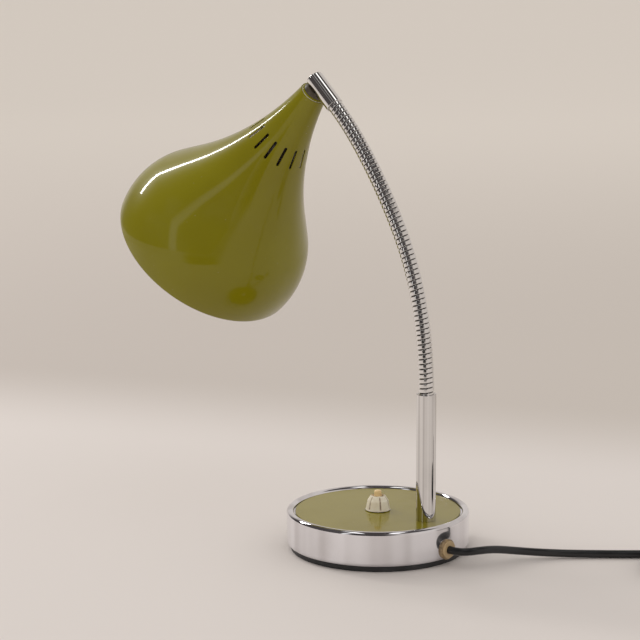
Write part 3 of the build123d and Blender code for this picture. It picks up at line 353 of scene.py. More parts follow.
@dataclass(frozen=True)
class Tarnished(Finish):
    """Plain working metal: brass, zinc-plated steel or iron, with patina and grain."""

    tint: Colour = (0.6, 0.6, 0.6)
    patina: Colour = (0.2, 0.18, 0.16)
    roughness: float = 0.3
    spread: float = 0.25
    patina_share: float = 0.5
    metallic: float = 1.0
    grain: float = 260.0
    relief: float = 0.15

    def sockets(self, graph: Graph) -> dict[str, Value]:
        """Patina in clouds and in a fine grain, which also tilts the surface."""
        clouds = graph.noise(70.0, 5.0).ramp(0.35, 0.75)
        grain = graph.noise(self.grain, 4.0)
        share = clouds * self.patina_share + grain.ramp(0.55, 0.8) * (0.35 * self.patina_share)
        return {
            "Base Color": share.blend(self.tint, self.patina),
            "Metallic": self.metallic,
            "Roughness": clouds * self.spread + self.roughness,
            "Normal": graph.bump(grain, self.relief, 0.0003),
        }


@dataclass(frozen=True)
class Enamel(Finish):
    """Stove enamel: a deep even coat with a faint ripple, specks of dust and small nicks."""

    tint: Colour = (0.16, 0.13, 0.01)
    shadow: Colour = (0.12, 0.1, 0.01)
    dust: Colour = (0.4, 0.38, 0.3)
    roughness: float = 0.3
    coat: float = 0.6
    coat_roughness: float = 0.05
    dust_share: float = 0.35
    ripple: float = 0.03

    def sockets(self, graph: Graph) -> dict[str, Value]:
        """Tone wanders between two greens, dust lightens spots, and the coat ripples a little."""
        clouds = graph.noise(14.0, 3.0).ramp(0.3, 0.75)
        tone = clouds.blend(self.tint, self.shadow)
        spots = graph.specks(210.0, 0.1) * graph.noise(60.0, 2.0).ramp(0.48, 0.62)
        film = graph.noise(24.0, 6.0).ramp(0.5, 0.8)
        share = spots * self.dust_share + film * (0.08 * self.dust_share)
        return {
            "Base Color": share.blend(tone, self.dust),
            "Roughness": film * 0.12 + self.roughness,
            "Specular IOR Level": 0.1,
            "Coat Weight": self.coat - spots * (self.coat * 0.5),
            "Coat Roughness": self.coat_roughness,
            "Normal": graph.bump(graph.noise(130.0, 1.0), self.ripple, 0.0008),
        }


@dataclass(frozen=True)
class Moulding(Finish):
    """Moulded plastic, phenolic or ceramic, with clouded colour, and soiling and painted shade where the mesh says
    so.
    """

    tint: Colour = (0.6, 0.5, 0.3)
    cloud: Colour = (0.5, 0.4, 0.25)
    dirt_and_shade_tone: Colour = (0.12, 0.07, 0.04)
    dirt_and_shade_share: float = 0.0
    roughness: float = 0.35
    coat: float = 0.25
    relief: float = 0.05
    grain: float = 420.0

    def sockets(self, graph: Graph) -> dict[str, Value]:
        """Two tones in clouds, then soiling and painted shade by the mesh's own value, broken up by noise."""
        clouds = graph.noise(90.0, 4.0).ramp(0.3, 0.72)
        grain = graph.noise(self.grain, 3.0)
        tone = clouds.blend(self.tint, self.cloud)
        dirt_and_shade_breakup = graph.noise(330.0, 4.0).ramp(0.3, 0.62)
        # Share of soiling and painted shade, from the mesh's value for each point.
        share = graph.attribute("dirt_and_shade") * (dirt_and_shade_breakup * 0.6 + 0.4) * self.dirt_and_shade_share
        return {
            "Base Color": share.blend(tone, self.dirt_and_shade_tone),
            "Roughness": grain.ramp(0.3, 0.8) * 0.14 + self.roughness,
            "Coat Weight": self.coat - share * self.coat,
            "Coat Roughness": 0.15,
            "Normal": graph.bump(grain, self.relief, 0.0002),
        }


@dataclass(frozen=True)
class Rubber(Finish):
    """Black rubber with a dull bloom and light dust."""

    tint: Colour = (0.012, 0.012, 0.013)
    bloom: Colour = (0.05, 0.05, 0.052)
    roughness: float = 0.4

    def sockets(self, graph: Graph) -> dict[str, Value]:
        """Bloom in clouds, a fine pebble in the relief."""
        clouds = graph.noise(60.0, 5.0).ramp(0.4, 0.8)
        pebble = graph.noise(1400.0, 2.0)
        share = clouds * 0.5 + graph.specks(420.0, 0.12) * 0.6
        return {
            "Base Color": share.blend(self.tint, self.bloom),
            "Roughness": clouds * 0.2 + self.roughness,
            "Normal": graph.bump(pebble, 0.12, 0.0001),
        }


@dataclass(frozen=True)
class Opal(Finish):
    """Opal bulb glass: a white scattering body under a clear gloss."""

    tint: Colour = (0.86, 0.85, 0.82)
    haze: Colour = (0.74, 0.72, 0.67)

    def sockets(self, graph: Graph) -> dict[str, Value]:
        """A faint haze over the white, and a coat with no relief."""
        haze = graph.noise(45.0, 4.0).ramp(0.4, 0.8)
        return {
            "Base Color": haze.blend(self.tint, self.haze),
            "Roughness": haze * 0.1 + 0.35,
            "Subsurface Weight": 0.3,
            "Subsurface Radius": (0.004, 0.004, 0.003),
            "Coat Weight": 1.0 - haze * 0.2,
            "Coat Roughness": 0.04,
        }


class Looks:
    """Every finish on the lamp."""

    CHROME = Plated("chrome", Slot.CHROME)
    # The drum and the stem carry vertical bands of painted reflection; the stem's dark stain makes them dark
    # streaks.
    DRUM = Plated(
        "drum_chrome", Slot.CHROME, tint=(0.89, 0.89, 0.93), stain=(0.48, 0.45, 0.45), reflection_bands=0.45, reflection_band_scale=48.0
    )
    STEM = Plated("stem_chrome", Slot.CHROME, stain=(0.24, 0.21, 0.2), reflection_bands=0.45)
    NECK_CHROME = Plated("neck_chrome", Slot.CHROME, roughness=0.1, smear=0.12, stain_share=0.2)
    NECK_CORE = Tarnished(
        "neck_core", Slot.STEEL, tint=(0.09, 0.075, 0.07), patina=(0.02, 0.016, 0.014), roughness=0.4
    )
    OLIVE = Enamel("olive_enamel", Slot.GREEN, tint=linear(124, 117, 8), shadow=linear(119, 111, 4))
    # The plate has the shade's olive paint, painted lighter: painted light and reflection for its brighter lighting
    # and grazing view of the room.
    PLATE_PAINTED_LIGHTER = Enamel("plate_enamel_painted_lighter", Slot.GREEN, tint=linear(132, 121, 22), shadow=linear(127, 115, 16))
    INSIDE = Enamel(
        "shade_inside",
        Slot.GREEN,
        tint=linear(232, 226, 208),
        shadow=linear(222, 214, 192),
        dust=linear(150, 135, 105),
        coat=0.4,
        coat_roughness=0.25,
        roughness=0.5,
    )
    RUBBER = Rubber("black_rubber", Slot.RUBBER)
    CORD = Rubber("cord_rubber", Slot.RUBBER, tint=(0.01, 0.01, 0.011), bloom=(0.03, 0.031, 0.034), roughness=0.3)
    IVORY = Moulding(
        "ivory_moulding",
        Slot.IVORY,
        tint=linear(238, 230, 210),
        cloud=linear(224, 210, 182),
        dirt_and_shade_tone=linear(112, 74, 50),
        dirt_and_shade_share=0.85,
    )
    OCHRE = Moulding("ochre_plastic", Slot.OCHRE, tint=linear(236, 206, 152), cloud=linear(224, 190, 132))
    TAN = Moulding(
        "tan_plastic",
        Slot.TAN,
        tint=linear(186, 160, 120),
        cloud=linear(168, 142, 104),
        dirt_and_shade_tone=linear(84, 66, 48),
        dirt_and_shade_share=0.7,
    )
    DARK = Moulding("dark_moulding", Slot.DARK, tint=(0.02, 0.013, 0.01), cloud=(0.035, 0.02, 0.014), coat=0.5)
    BLACK = Moulding("black_plastic", Slot.BLACK, tint=(0.012, 0.012, 0.012), cloud=(0.02, 0.02, 0.02), coat=0.3)
    WASHER = Moulding("washer_fibre", Slot.BLACK, tint=linear(84, 74, 58), cloud=linear(66, 57, 45), coat=0.1)
    PORCELAIN = Moulding(
        "porcelain", Slot.PORCELAIN, tint=(0.78, 0.76, 0.7), cloud=(0.7, 0.67, 0.6), roughness=0.2, coat=0.8
    )
    GLASS = Opal("opal_glass", Slot.GLASS)
    BRASS = Tarnished(
        "brass", Slot.BRASS, tint=(0.72, 0.5, 0.2), patina=(0.3, 0.17, 0.06), roughness=0.25, patina_share=0.45
    )
    STEEL = Tarnished("zinc_steel", Slot.STEEL, tint=(0.55, 0.56, 0.57), patina=(0.3, 0.29, 0.27))
    IRON = Tarnished(
        "cast_iron",
        Slot.IRON,
        tint=(0.05, 0.05, 0.052),
        patina=(0.09, 0.05, 0.03),
        roughness=0.55,
        metallic=0.6,
        grain=340.0,
        relief=0.6,
    )
    ALUMINIUM = Tarnished(
        "aluminium", Slot.ALUMINIUM, tint=(0.75, 0.75, 0.76), patina=(0.5, 0.5, 0.5), roughness=0.22, spread=0.15
    )


@dataclass(frozen=True)
class Axes:
    """A piece's own frame in the row frame: an origin in millimetres and three unit directions."""

    origin: tuple[float, float, float] = (0.0, 0.0, 0.0)
    x: tuple[float, float, float] = (1.0, 0.0, 0.0)
    y: tuple[float, float, float] = (0.0, 1.0, 0.0)
    z: tuple[float, float, float] = (0.0, 0.0, 1.0)

    def put(self, local: np.ndarray) -> np.ndarray:
        """Points of this frame in the row frame.

        Args:
            local: Points with three coordinates on the last axis.

        Returns:
            The points, in millimetres of the row frame.
        """
        return local @ np.array([self.x, self.y, self.z]) + np.array(self.origin)


class Skin:
    """A mesh gathered from grids of points and welded where they meet."""

    def __init__(self) -> None:
        """Starts with nothing."""
        self.points: list[np.ndarray] = []
        self.quads: list[np.ndarray] = []
        self.slots: list[np.ndarray] = []
        self.dirt_and_shade: list[np.ndarray] = []
        self.count = 0

    def grid(
        self,
        points: np.ndarray,
        around: bool = True,
        closed: bool = False,
        slot: Union[int, np.ndarray] = 0,
        dirt_and_shade: Optional[np.ndarray] = None,
    ) -> "Skin":
        """Adds a grid of quads.

        Args:
            points: Rows by columns by three coordinates, in millimetres.
            around: Whether the last column joins the first.
            closed: Whether the last row joins the first.
            slot: Material number, or one for each row of quads.
            dirt_and_shade: Soiling and painted shade from 0 to 1 for each point.

        Returns:
            This skin.
        """
        rows, columns = points.shape[:2]
        row, column = np.meshgrid(
            np.arange(rows if closed else rows - 1), np.arange(columns if around else columns - 1), indexing="ij"
        )
        below, right = (row + 1) % rows, (column + 1) % columns
        corners = [row * columns + column, row * columns + right, below * columns + right, below * columns + column]
        self.points.append(points.reshape(-1, 3))
        self.quads.append(np.stack(corners, axis=-1).reshape(-1, 4) + self.count)
        self.slots.append(np.broadcast_to(np.reshape(slot, (-1, 1)), row.shape).reshape(-1))
        self.dirt_and_shade.append(np.zeros(rows * columns) if dirt_and_shade is None else np.reshape(dirt_and_shade, -1))
        self.count += rows * columns
        return self

    def build(self, name: str, *finishes: Finish, crease: float = 38.0) -> bpy.types.Object:
        """Makes the object, with doubles welded and faces turned outwards.

        Args:
            name: Object's name.
            finishes: One for each material number.
            crease: Edges sharper than this many degrees shade as edges.

        Returns:
            The object, at the origin.
        """
        quads = np.concatenate(self.quads)
        mesh = bpy.data.meshes.new(name)
        mesh.vertices.add(self.count)
        mesh.vertices.foreach_set("co", (np.concatenate(self.points) * MM).astype(np.float32).ravel())
        mesh.loops.add(quads.size)
        mesh.loops.foreach_set("vertex_index", quads.astype(np.int32).ravel())
        mesh.polygons.add(len(quads))
        mesh.polygons.foreach_set("loop_start", np.arange(0, quads.size, 4, dtype=np.int32))
        mesh.polygons.foreach_set("material_index", np.concatenate(self.slots).astype(np.int32))
        # Per-point soiling and painted shade, which the mouldings read.
        layer = mesh.attributes.new("dirt_and_shade", "FLOAT", "POINT")
        layer.data.foreach_set("value", np.concatenate(self.dirt_and_shade).astype(np.float32))
        mesh.update(calc_edges=True)
        work = bmesh.new()
        work.from_mesh(mesh)
        bmesh.ops.remove_doubles(work, verts=work.verts, dist=WELD_DISTANCE)
        bmesh.ops.dissolve_degenerate(work, edges=work.edges, dist=WELD_DISTANCE)
        bmesh.ops.recalc_face_normals(work, faces=work.faces)
        work.to_mesh(mesh)
        work.free()
        mesh.polygons.foreach_set("use_smooth", np.ones(len(mesh.polygons), dtype=bool))
        mesh.set_sharp_from_angle(angle=math.radians(crease))
        for finish in finishes:
            mesh.materials.append(finish.material())
        made = link(name, mesh)
        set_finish(made, finishes[0].slot.value)
        return made


def link(name: str, data: bpy.types.ID) -> bpy.types.Object:
    """Puts data into the scene.

    Args:
        name: Object's name.
        data: Its mesh, curve, light or camera.

    Returns:
        The object.
    """
    made = bpy.data.objects.new(name, data)
    bpy.context.scene.collection.objects.link(made)
    return made


def stage(made: bpy.types.Object) -> None:
    """Makes a mesh part of the studio, with no slot of the record."""
    del made["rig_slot"]


def seat(made: bpy.types.Object, body: str, *nodes: str) -> bpy.types.Object:
    """Fixes a piece to a body in place of CAD nodes.

    Args:
        made: The piece.
        body: Name of the body that it moves with.
        nodes: The nodes that it stands for.

    Returns:
        The piece.
    """
    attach(made, body)
    if nodes:
        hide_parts(*nodes)
    return made


def outline(corners: Iterable[Sequence[float]], arc_steps: int = 6) -> np.ndarray:
    """A closed outline with rounded corners and support points beside each rounding.

    A corner is a radius, a height and a rounding. The rounding's arc is cut into even turns, and
    a point is added on each straight just past it, so that smooth shading stays flat along it.

    Args:
        corners: Radius, height and rounding of each corner, in millimetres.
        arc_steps: Segments of each rounding.

    Returns:
        Points as rows of radius and height.
    """
    given = np.array([(*corner, 0.0)[:3] for corner in corners], float)
    found: list[np.ndarray] = []
    for index, (radius, height, rounding) in enumerate(given):
        at = np.array([radius, height])
        back = given[index - 1][:2] - at
        on = given[(index + 1) % len(given)][:2] - at
        if rounding <= 0.0:
            found.append(at[None])
            continue
        back, on = back / np.linalg.norm(back), on / np.linalg.norm(on)
        half = math.acos(float(np.clip(back @ on, -1.0, 1.0))) / 2.0
        reach = rounding / math.tan(half)
        middle = at + (back + on) / np.linalg.norm(back + on) * (rounding / math.sin(half))
        start, end = at + back * reach, at + on * reach
        first = math.atan2(*(start - middle)[::-1])
        swing = (math.atan2(*(end - middle)[::-1]) - first + math.pi) % TAU - math.pi
        angles = first + swing * np.linspace(0.0, 1.0, arc_steps + 1)
        arc = middle + rounding * rows(np.cos(angles), np.sin(angles))
        slack = 0.25 * rounding
        found.append(np.vstack([start + back * slack, arc, end + on * slack]))
    return np.vstack(found)


def rows(*parts: Union[np.ndarray, float]) -> np.ndarray:
    """Coordinates side by side on a last axis of their own, each spread to the widest shape."""
    return np.stack(np.broadcast_arrays(*parts), axis=-1)


def swung(radius: Union[np.ndarray, float], angle: np.ndarray, height: Union[np.ndarray, float]) -> np.ndarray:
    """Points about Z by radius, angle and height: (r cos a, r sin a, z)."""
    return rows(radius * np.cos(angle), radius * np.sin(angle), height)


def border(across: np.ndarray, upward: np.ndarray) -> np.ndarray:
    """The closed loop round a rectangle from its first corner, with no point twice.

    Args:
        across: Places along its width.
        upward: Places along its height.

    Returns:
        Rows of place across and height.
    """
    out, back = rows(across, upward[0]), rows(across[::-1], upward[-1])
    rise, drop = rows(across[-1], upward), rows(across[0], upward[::-1])
    return np.vstack([side[:-1] for side in (out, rise, back, drop)])


def turned(profile: np.ndarray, axes: Axes = Axes(), steps: int = 96) -> np.ndarray:
    """A profile turned about a frame's Z: (r cos a, r sin a, z) for even angles a.

    Args:
        profile: Rows of radius and height.
        axes: The frame.
        steps: Columns round the turn.

    Returns:
        Rows by columns by three coordinates.
    """
    angle = np.linspace(0.0, TAU, steps, endpoint=False)
    return axes.put(swung(profile[:, 0, None], angle, profile[:, 1, None]))


def threaded(
    low: float, high: float, radius: float, depth: float, pitch: float, axes: Axes = Axes(), steps: int = 48
) -> np.ndarray:
    """An outer screw thread: r = radius - depth (1 - cos w) / 2 with w = 2 pi (z / pitch - a / 2 pi).

    Args:
        low: Height where it starts, in millimetres.
        high: Height where it ends.
        radius: Crest radius.
        depth: Depth of the groove.
        pitch: Rise in one turn.
        axes: The frame.
        steps: Columns round the turn.

    Returns:
        Rows by columns by three coordinates.
    """
    angle = np.linspace(0.0, TAU, steps, endpoint=False)
    height = np.linspace(low, high, max(2, int((high - low) / pitch * 8)))[:, None]
    fade = np.clip(np.minimum(height - low, high - height) / pitch, 0.0, 1.0)
    wave = (1.0 - np.cos(TAU * height / pitch - angle)) / 2.0
    reach = radius - depth * (wave * fade + (1.0 - fade))
    return axes.put(swung(reach, angle, height))


def spline(points: Sequence[Sequence[float]], steps: int = 8) -> np.ndarray:
    """A quadratic curve led by its corners, which touches the middle of each inner run.

    Args:
        points: The corners, in millimetres.
        steps: Points on each corner's piece.

    Returns:
        Points along the curve.
    """
    corner = np.array(points, float)
    middle = (corner[1:] + corner[:-1]) / 2.0
    middle[0], middle[-1] = corner[0], corner[-1]
    share = np.linspace(0.0, 1.0, steps, endpoint=False)[None, :, None]
    start, lead, end = middle[:-1, None], corner[1:-1, None], middle[1:, None]
    curve = (1 - share) ** 2 * start + 2 * share * (1 - share) * lead + share**2 * end
    return np.vstack([curve.reshape(-1, 3), corner[-1:]])


def hose(path: np.ndarray, radius: float, across: Sequence[float] = (0.0, 1.0, 0.0), sides: int = 12) -> np.ndarray:
    """A round tube along a path: p + r (cos a U + sin a W), with U across the path and W across both.

    Args:
        path: Centre line.
        radius: Tube's radius in millimetres.
        across: A direction that the path never follows.
        sides: Columns round the tube.

    Returns:
        Rows by columns by three coordinates, with a pole at each end.
    """
    along = np.gradient(path, axis=0)
    along /= np.linalg.norm(along, axis=1, keepdims=True)
    first = np.cross(along, np.array(across, float))
    first /= np.linalg.norm(first, axis=1, keepdims=True)
    second = np.cross(along, first)
    angle = np.linspace(0.0, TAU, sides, endpoint=False)[None, :, None]
    rings = path[:, None] + radius * (np.cos(angle) * first[:, None] + np.sin(angle) * second[:, None])
    poles = np.broadcast_to(path[[0, -1], None], (2, sides, 3))
    return np.concatenate([poles[:1], rings, poles[1:]])


@dataclass
class Studio:
    """Camera, pale floor, soft lights and the room that the metal mirrors."""

    eye: tuple[float, float, float] = (1290.08, -1403.68, 559.93)
    right: tuple[float, float, float] = (0.71975, 0.69422, -0.0031)
    up: tuple[float, float, float] = (-0.1299, 0.13906, 0.98173)
    back: tuple[float, float, float] = (0.68197, -0.7062, 0.19027)
    lens: float = 135.0
    sensor: float = 36.0
    clip: tuple[float, float] = (0.05, 60.0)
    floor_rings: tuple[float, ...] = (0.0, 0.3, 0.8, 1.6, 3.0, 6.0, 10.0, 14.0)
    aim: tuple[float, float, float] = (0.0, 0.0, 0.2)
    light_distance: float = 2.4
    light_colour: Colour = (1.0, 0.985, 0.965)
    to_camera: tuple[float, float] = (0.695, -0.719)
    to_right: tuple[float, float] = (0.72, 0.694)
    to_wall: tuple[float, float] = (0.342, 0.94)
    to_window: tuple[float, float] = (1.0, 0.035)
    far_light: Colour = (0.6, 0.59, 0.575)
    near_light: Colour = (0.92, 0.905, 0.885)
    dim: Colour = (0.07, 0.062, 0.06)
    pale: Colour = (0.62, 0.57, 0.53)
    strip_light: Colour = (1.7, 1.68, 1.64)
    window_light: Colour = (0.95, 0.93, 0.91)
    backdrop: Colour = linear(209, 200, 192)
    card_bearing: float = -62.0
    card_distance: float = 820.0
    card_half: float = 450.0
    card_heights: tuple[float, float] = (0.5, 380.0)

    def camera(self) -> None:
        """The photograph's camera."""
        data = bpy.data.cameras.new("camera")
        data.lens = self.lens
        data.sensor_width = self.sensor
        data.clip_start, data.clip_end = self.clip
        made = link("camera", data)
        turn = Matrix((self.right, self.up, self.back)).transposed().to_4x4()
        made.matrix_world = Matrix.Translation(Vector(self.eye) * MM) @ turn
        bpy.context.scene.camera = made

    def floor(self) -> None:
        """A pale level floor out past the picture's top edge."""
        flat = turned(rows(np.array(self.floor_rings) / MM, 0.0), steps=64)
        stage(Skin().grid(flat[:, ::-1]).build("floor", FloorPaper("floor_paper_painted_shade_and_light", Slot.CHROME)))

    def hang(self, name: str, data: bpy.types.Light, bearing: float, rise: float) -> bpy.types.Object:
        """Places a light round the lamp so that it faces it.

        Args:
            name: Object's name.
            data: The light.
            bearing: Degrees from the X axis towards Y, seen from the lamp.
            rise: Degrees above the floor.

        Returns:
            The light's object.
        """
        data.color = self.light_colour
        made = link(name, data)
        turn, lift = math.radians(bearing), math.radians(rise)
        way = Vector((math.cos(lift) * math.cos(turn), math.cos(lift) * math.sin(turn), math.sin(lift)))
        made.location = Vector(self.aim) + way * self.light_distance
        made.rotation_euler = (-way).to_track_quat("-Z", "Y").to_euler()
        return made

    def key_light(self, size: Sequence[float], radiance: float, bearing: float, rise: float, roll: float) -> None:
        """The rectangular soft light that shows in the chrome and the enamel.

        Args:
            size: Width and height in metres.
            radiance: Light that leaves each square metre of it, so that its size sets its power.
            bearing: Degrees from the X axis towards Y.
            rise: Degrees above the floor.
            roll: Degrees that it is turned by about its own axis.
        """
        data = bpy.data.lights.new("key_light", "AREA")
        data.shape = "RECTANGLE"
        data.size, data.size_y = size
        data.energy = radiance * math.pi * size[0] * size[1]
        self.hang("key_light", data, bearing, rise).rotation_euler.rotate_axis("Z", math.radians(roll))

    def daylight(self, bearing: float, rise: float, angle: float, strength: float) -> None:
        """A broad light from far off, which gives the long soft shadow and no highlight.

        Args:
            bearing: Degrees from the X axis towards Y.
            rise: Degrees above the floor.
            angle: Its width in degrees.
            strength: Light on a square metre that faces it.
        """
        data = bpy.data.lights.new("daylight", "SUN")
        data.angle = math.radians(angle)
        data.energy = strength
        self.hang("daylight", data, bearing, rise).visible_glossy = False

    def card(self) -> None:
        """Dark card at the table's front edge, which only the polished surfaces see."""
        turn = math.radians(self.card_bearing)
        out, side = np.array([math.cos(turn), math.sin(turn)]), np.array([-math.sin(turn), math.cos(turn)])
        ends = [out * self.card_distance + side * half for half in (-self.card_half, self.card_half)]
        points = np.array([[(*end, height) for end in ends] for height in self.card_heights])
        made = Skin().grid(points, around=False).build("dark_card", CardFelt("card_felt", Slot.RUBBER))
        stage(made)
        made.visible_camera = made.visible_diffuse = made.visible_shadow = made.visible_transmission = False

    def room(self) -> None:
        """World light: brighter from the camera's side; metal mirrors pale walls and a dim room.

        In the mirrored room a pale wall stands on one side under a dark ceiling, two narrow bright
        strips cross the ceiling in front of the lamp, and a soft window stands at the back.
        """
        world = bpy.data.worlds.new("room")
        world.use_nodes = True
        bpy.context.scene.world = world
        graph = Graph(world.node_tree)
        way = graph.node("ShaderNodeTexCoord", {}, {}, "Generated")
        front, beside, window = way.along(self.to_camera), way.along(self.to_right), way.along(self.to_window)
        ambient = front.ramp(-0.9, 0.9).blend(self.far_light, self.near_light)
        low = 1.0 - (way.part(2) - (0.0 - front).ramp(0.0, 0.5) * 0.2).ramp(0.6, 0.76)
        mirrored = (way.along(self.to_wall).ramp(-0.35, 0.1) * low).blend(self.dim, self.pale)
        left, right = beside + 0.31, beside - 0.24
        strips = 2.0 - (left * left).ramp(0.004, 0.012) - (right * right).ramp(0.003, 0.01)
        overhead = way.part(2).ramp(0.8, 0.9) * front.ramp(-0.15, 0.05)
        mirrored = (strips * overhead).blend(mirrored, self.strip_light)
        window = (1.0 - (window * window).ramp(0.0, 0.014)) * (0.0 - way.part(1)).ramp(0.0, 0.3)
        mirrored = (window * (1.0 - way.part(2).ramp(0.5, 0.68))).blend(mirrored, self.window_light)
        rays = ("Camera", "Glossy", "Transmission")
        seen = {kind: graph.node("ShaderNodeLightPath", {}, {}, f"Is {kind} Ray") for kind in rays}
        tone = (seen["Glossy"] + seen["Transmission"]).blend(ambient, mirrored)
        tone = seen["Camera"].blend(tone, self.backdrop)
        light = graph.node("ShaderNodeBackground", {}, {"Color": tone, "Strength": 1.0})
        graph.node("ShaderNodeOutputWorld", {}, {"Surface": light}, None)

    def build(self) -> None:
        """Everything round the lamp."""
        self.camera()
        self.floor()
        self.room()
        self.card()
        bpy.context.scene.view_settings.view_transform = "Standard"
        self.daylight(bearing=174.0, rise=36.0, angle=50.0, strength=0.95)
        self.key_light(size=(0.84, 0.16), radiance=28.0, bearing=183.0, rise=33.0, roll=-53.8)


@dataclass(frozen=True)
class CardFelt(Finish):
    """Dark felt that thins out towards the card's ends and its upper edge."""

    tint: Colour = (0.02, 0.019, 0.018)
    lint: Colour = (0.04, 0.038, 0.036)
    across: tuple[float, float] = (0.883, 0.469)

    def sockets(self, graph: Graph) -> dict[str, Value]:
        """Alpha falls with the square of the distance along the card and with the height."""
        spot = graph.place()
        side = spot.along(self.across)
        ends = (side * side).ramp(0.03, 0.2)
        fibres = graph.noise(160.0, 4.0)
        return {
            "Base Color": fibres.blend(self.tint, self.lint),
            "Roughness": 0.9,
            "Specular IOR Level": 0.1,
            "Alpha": (1.0 - ends) * (1.0 - spot.part(2).ramp(0.12, 0.38)),
            "Normal": graph.bump(fibres, 0.2, 0.0003),
        }


@dataclass(frozen=True)
class FloorPaper(Finish):
    """Pale paper with painted shade in a darker sweep band behind the lamp, darker on the left, and painted light
    in a lighter wall tone beyond it.
    """

    near: Colour = linear(213, 205, 200)
    # The two sweep tones are painted shade, the left one darker; the wall tone is painted light on the far floor.
    sweep_shade_left: Colour = linear(187, 178, 171)
    sweep_shade_right: Colour = linear(193, 184, 176)
    wall: Colour = linear(219, 210, 201)
    behind: tuple[float, float] = (-0.695, 0.719)
    aside: tuple[float, float] = (0.72, 0.694)

    def sockets(self, graph: Graph) -> dict[str, Value]:
        """Painted shade and light by distance behind the lamp and by side, with the sweep's edge aslant, plus the
        paper's tooth.
        """
        spot = graph.place()
        away, side = spot.along(self.behind), spot.along(self.aside)
        sweep = side.ramp(-0.5, 0.5).blend(self.sweep_shade_left, self.sweep_shade_right)
        tone = (away + side * 0.35).ramp(0.28, 0.6).blend(self.near, sweep)
        tone = away.ramp(0.85, 3.3).blend(tone, self.wall)
        return {
            "Base Color": tone,
            "Roughness": 0.85 + graph.noise(30.0) * 0.1,
            "Specular IOR Level": 0.2,
            "Normal": graph.bump(graph.noise(700.0, 2.0), 0.05, 0.0002),
        }


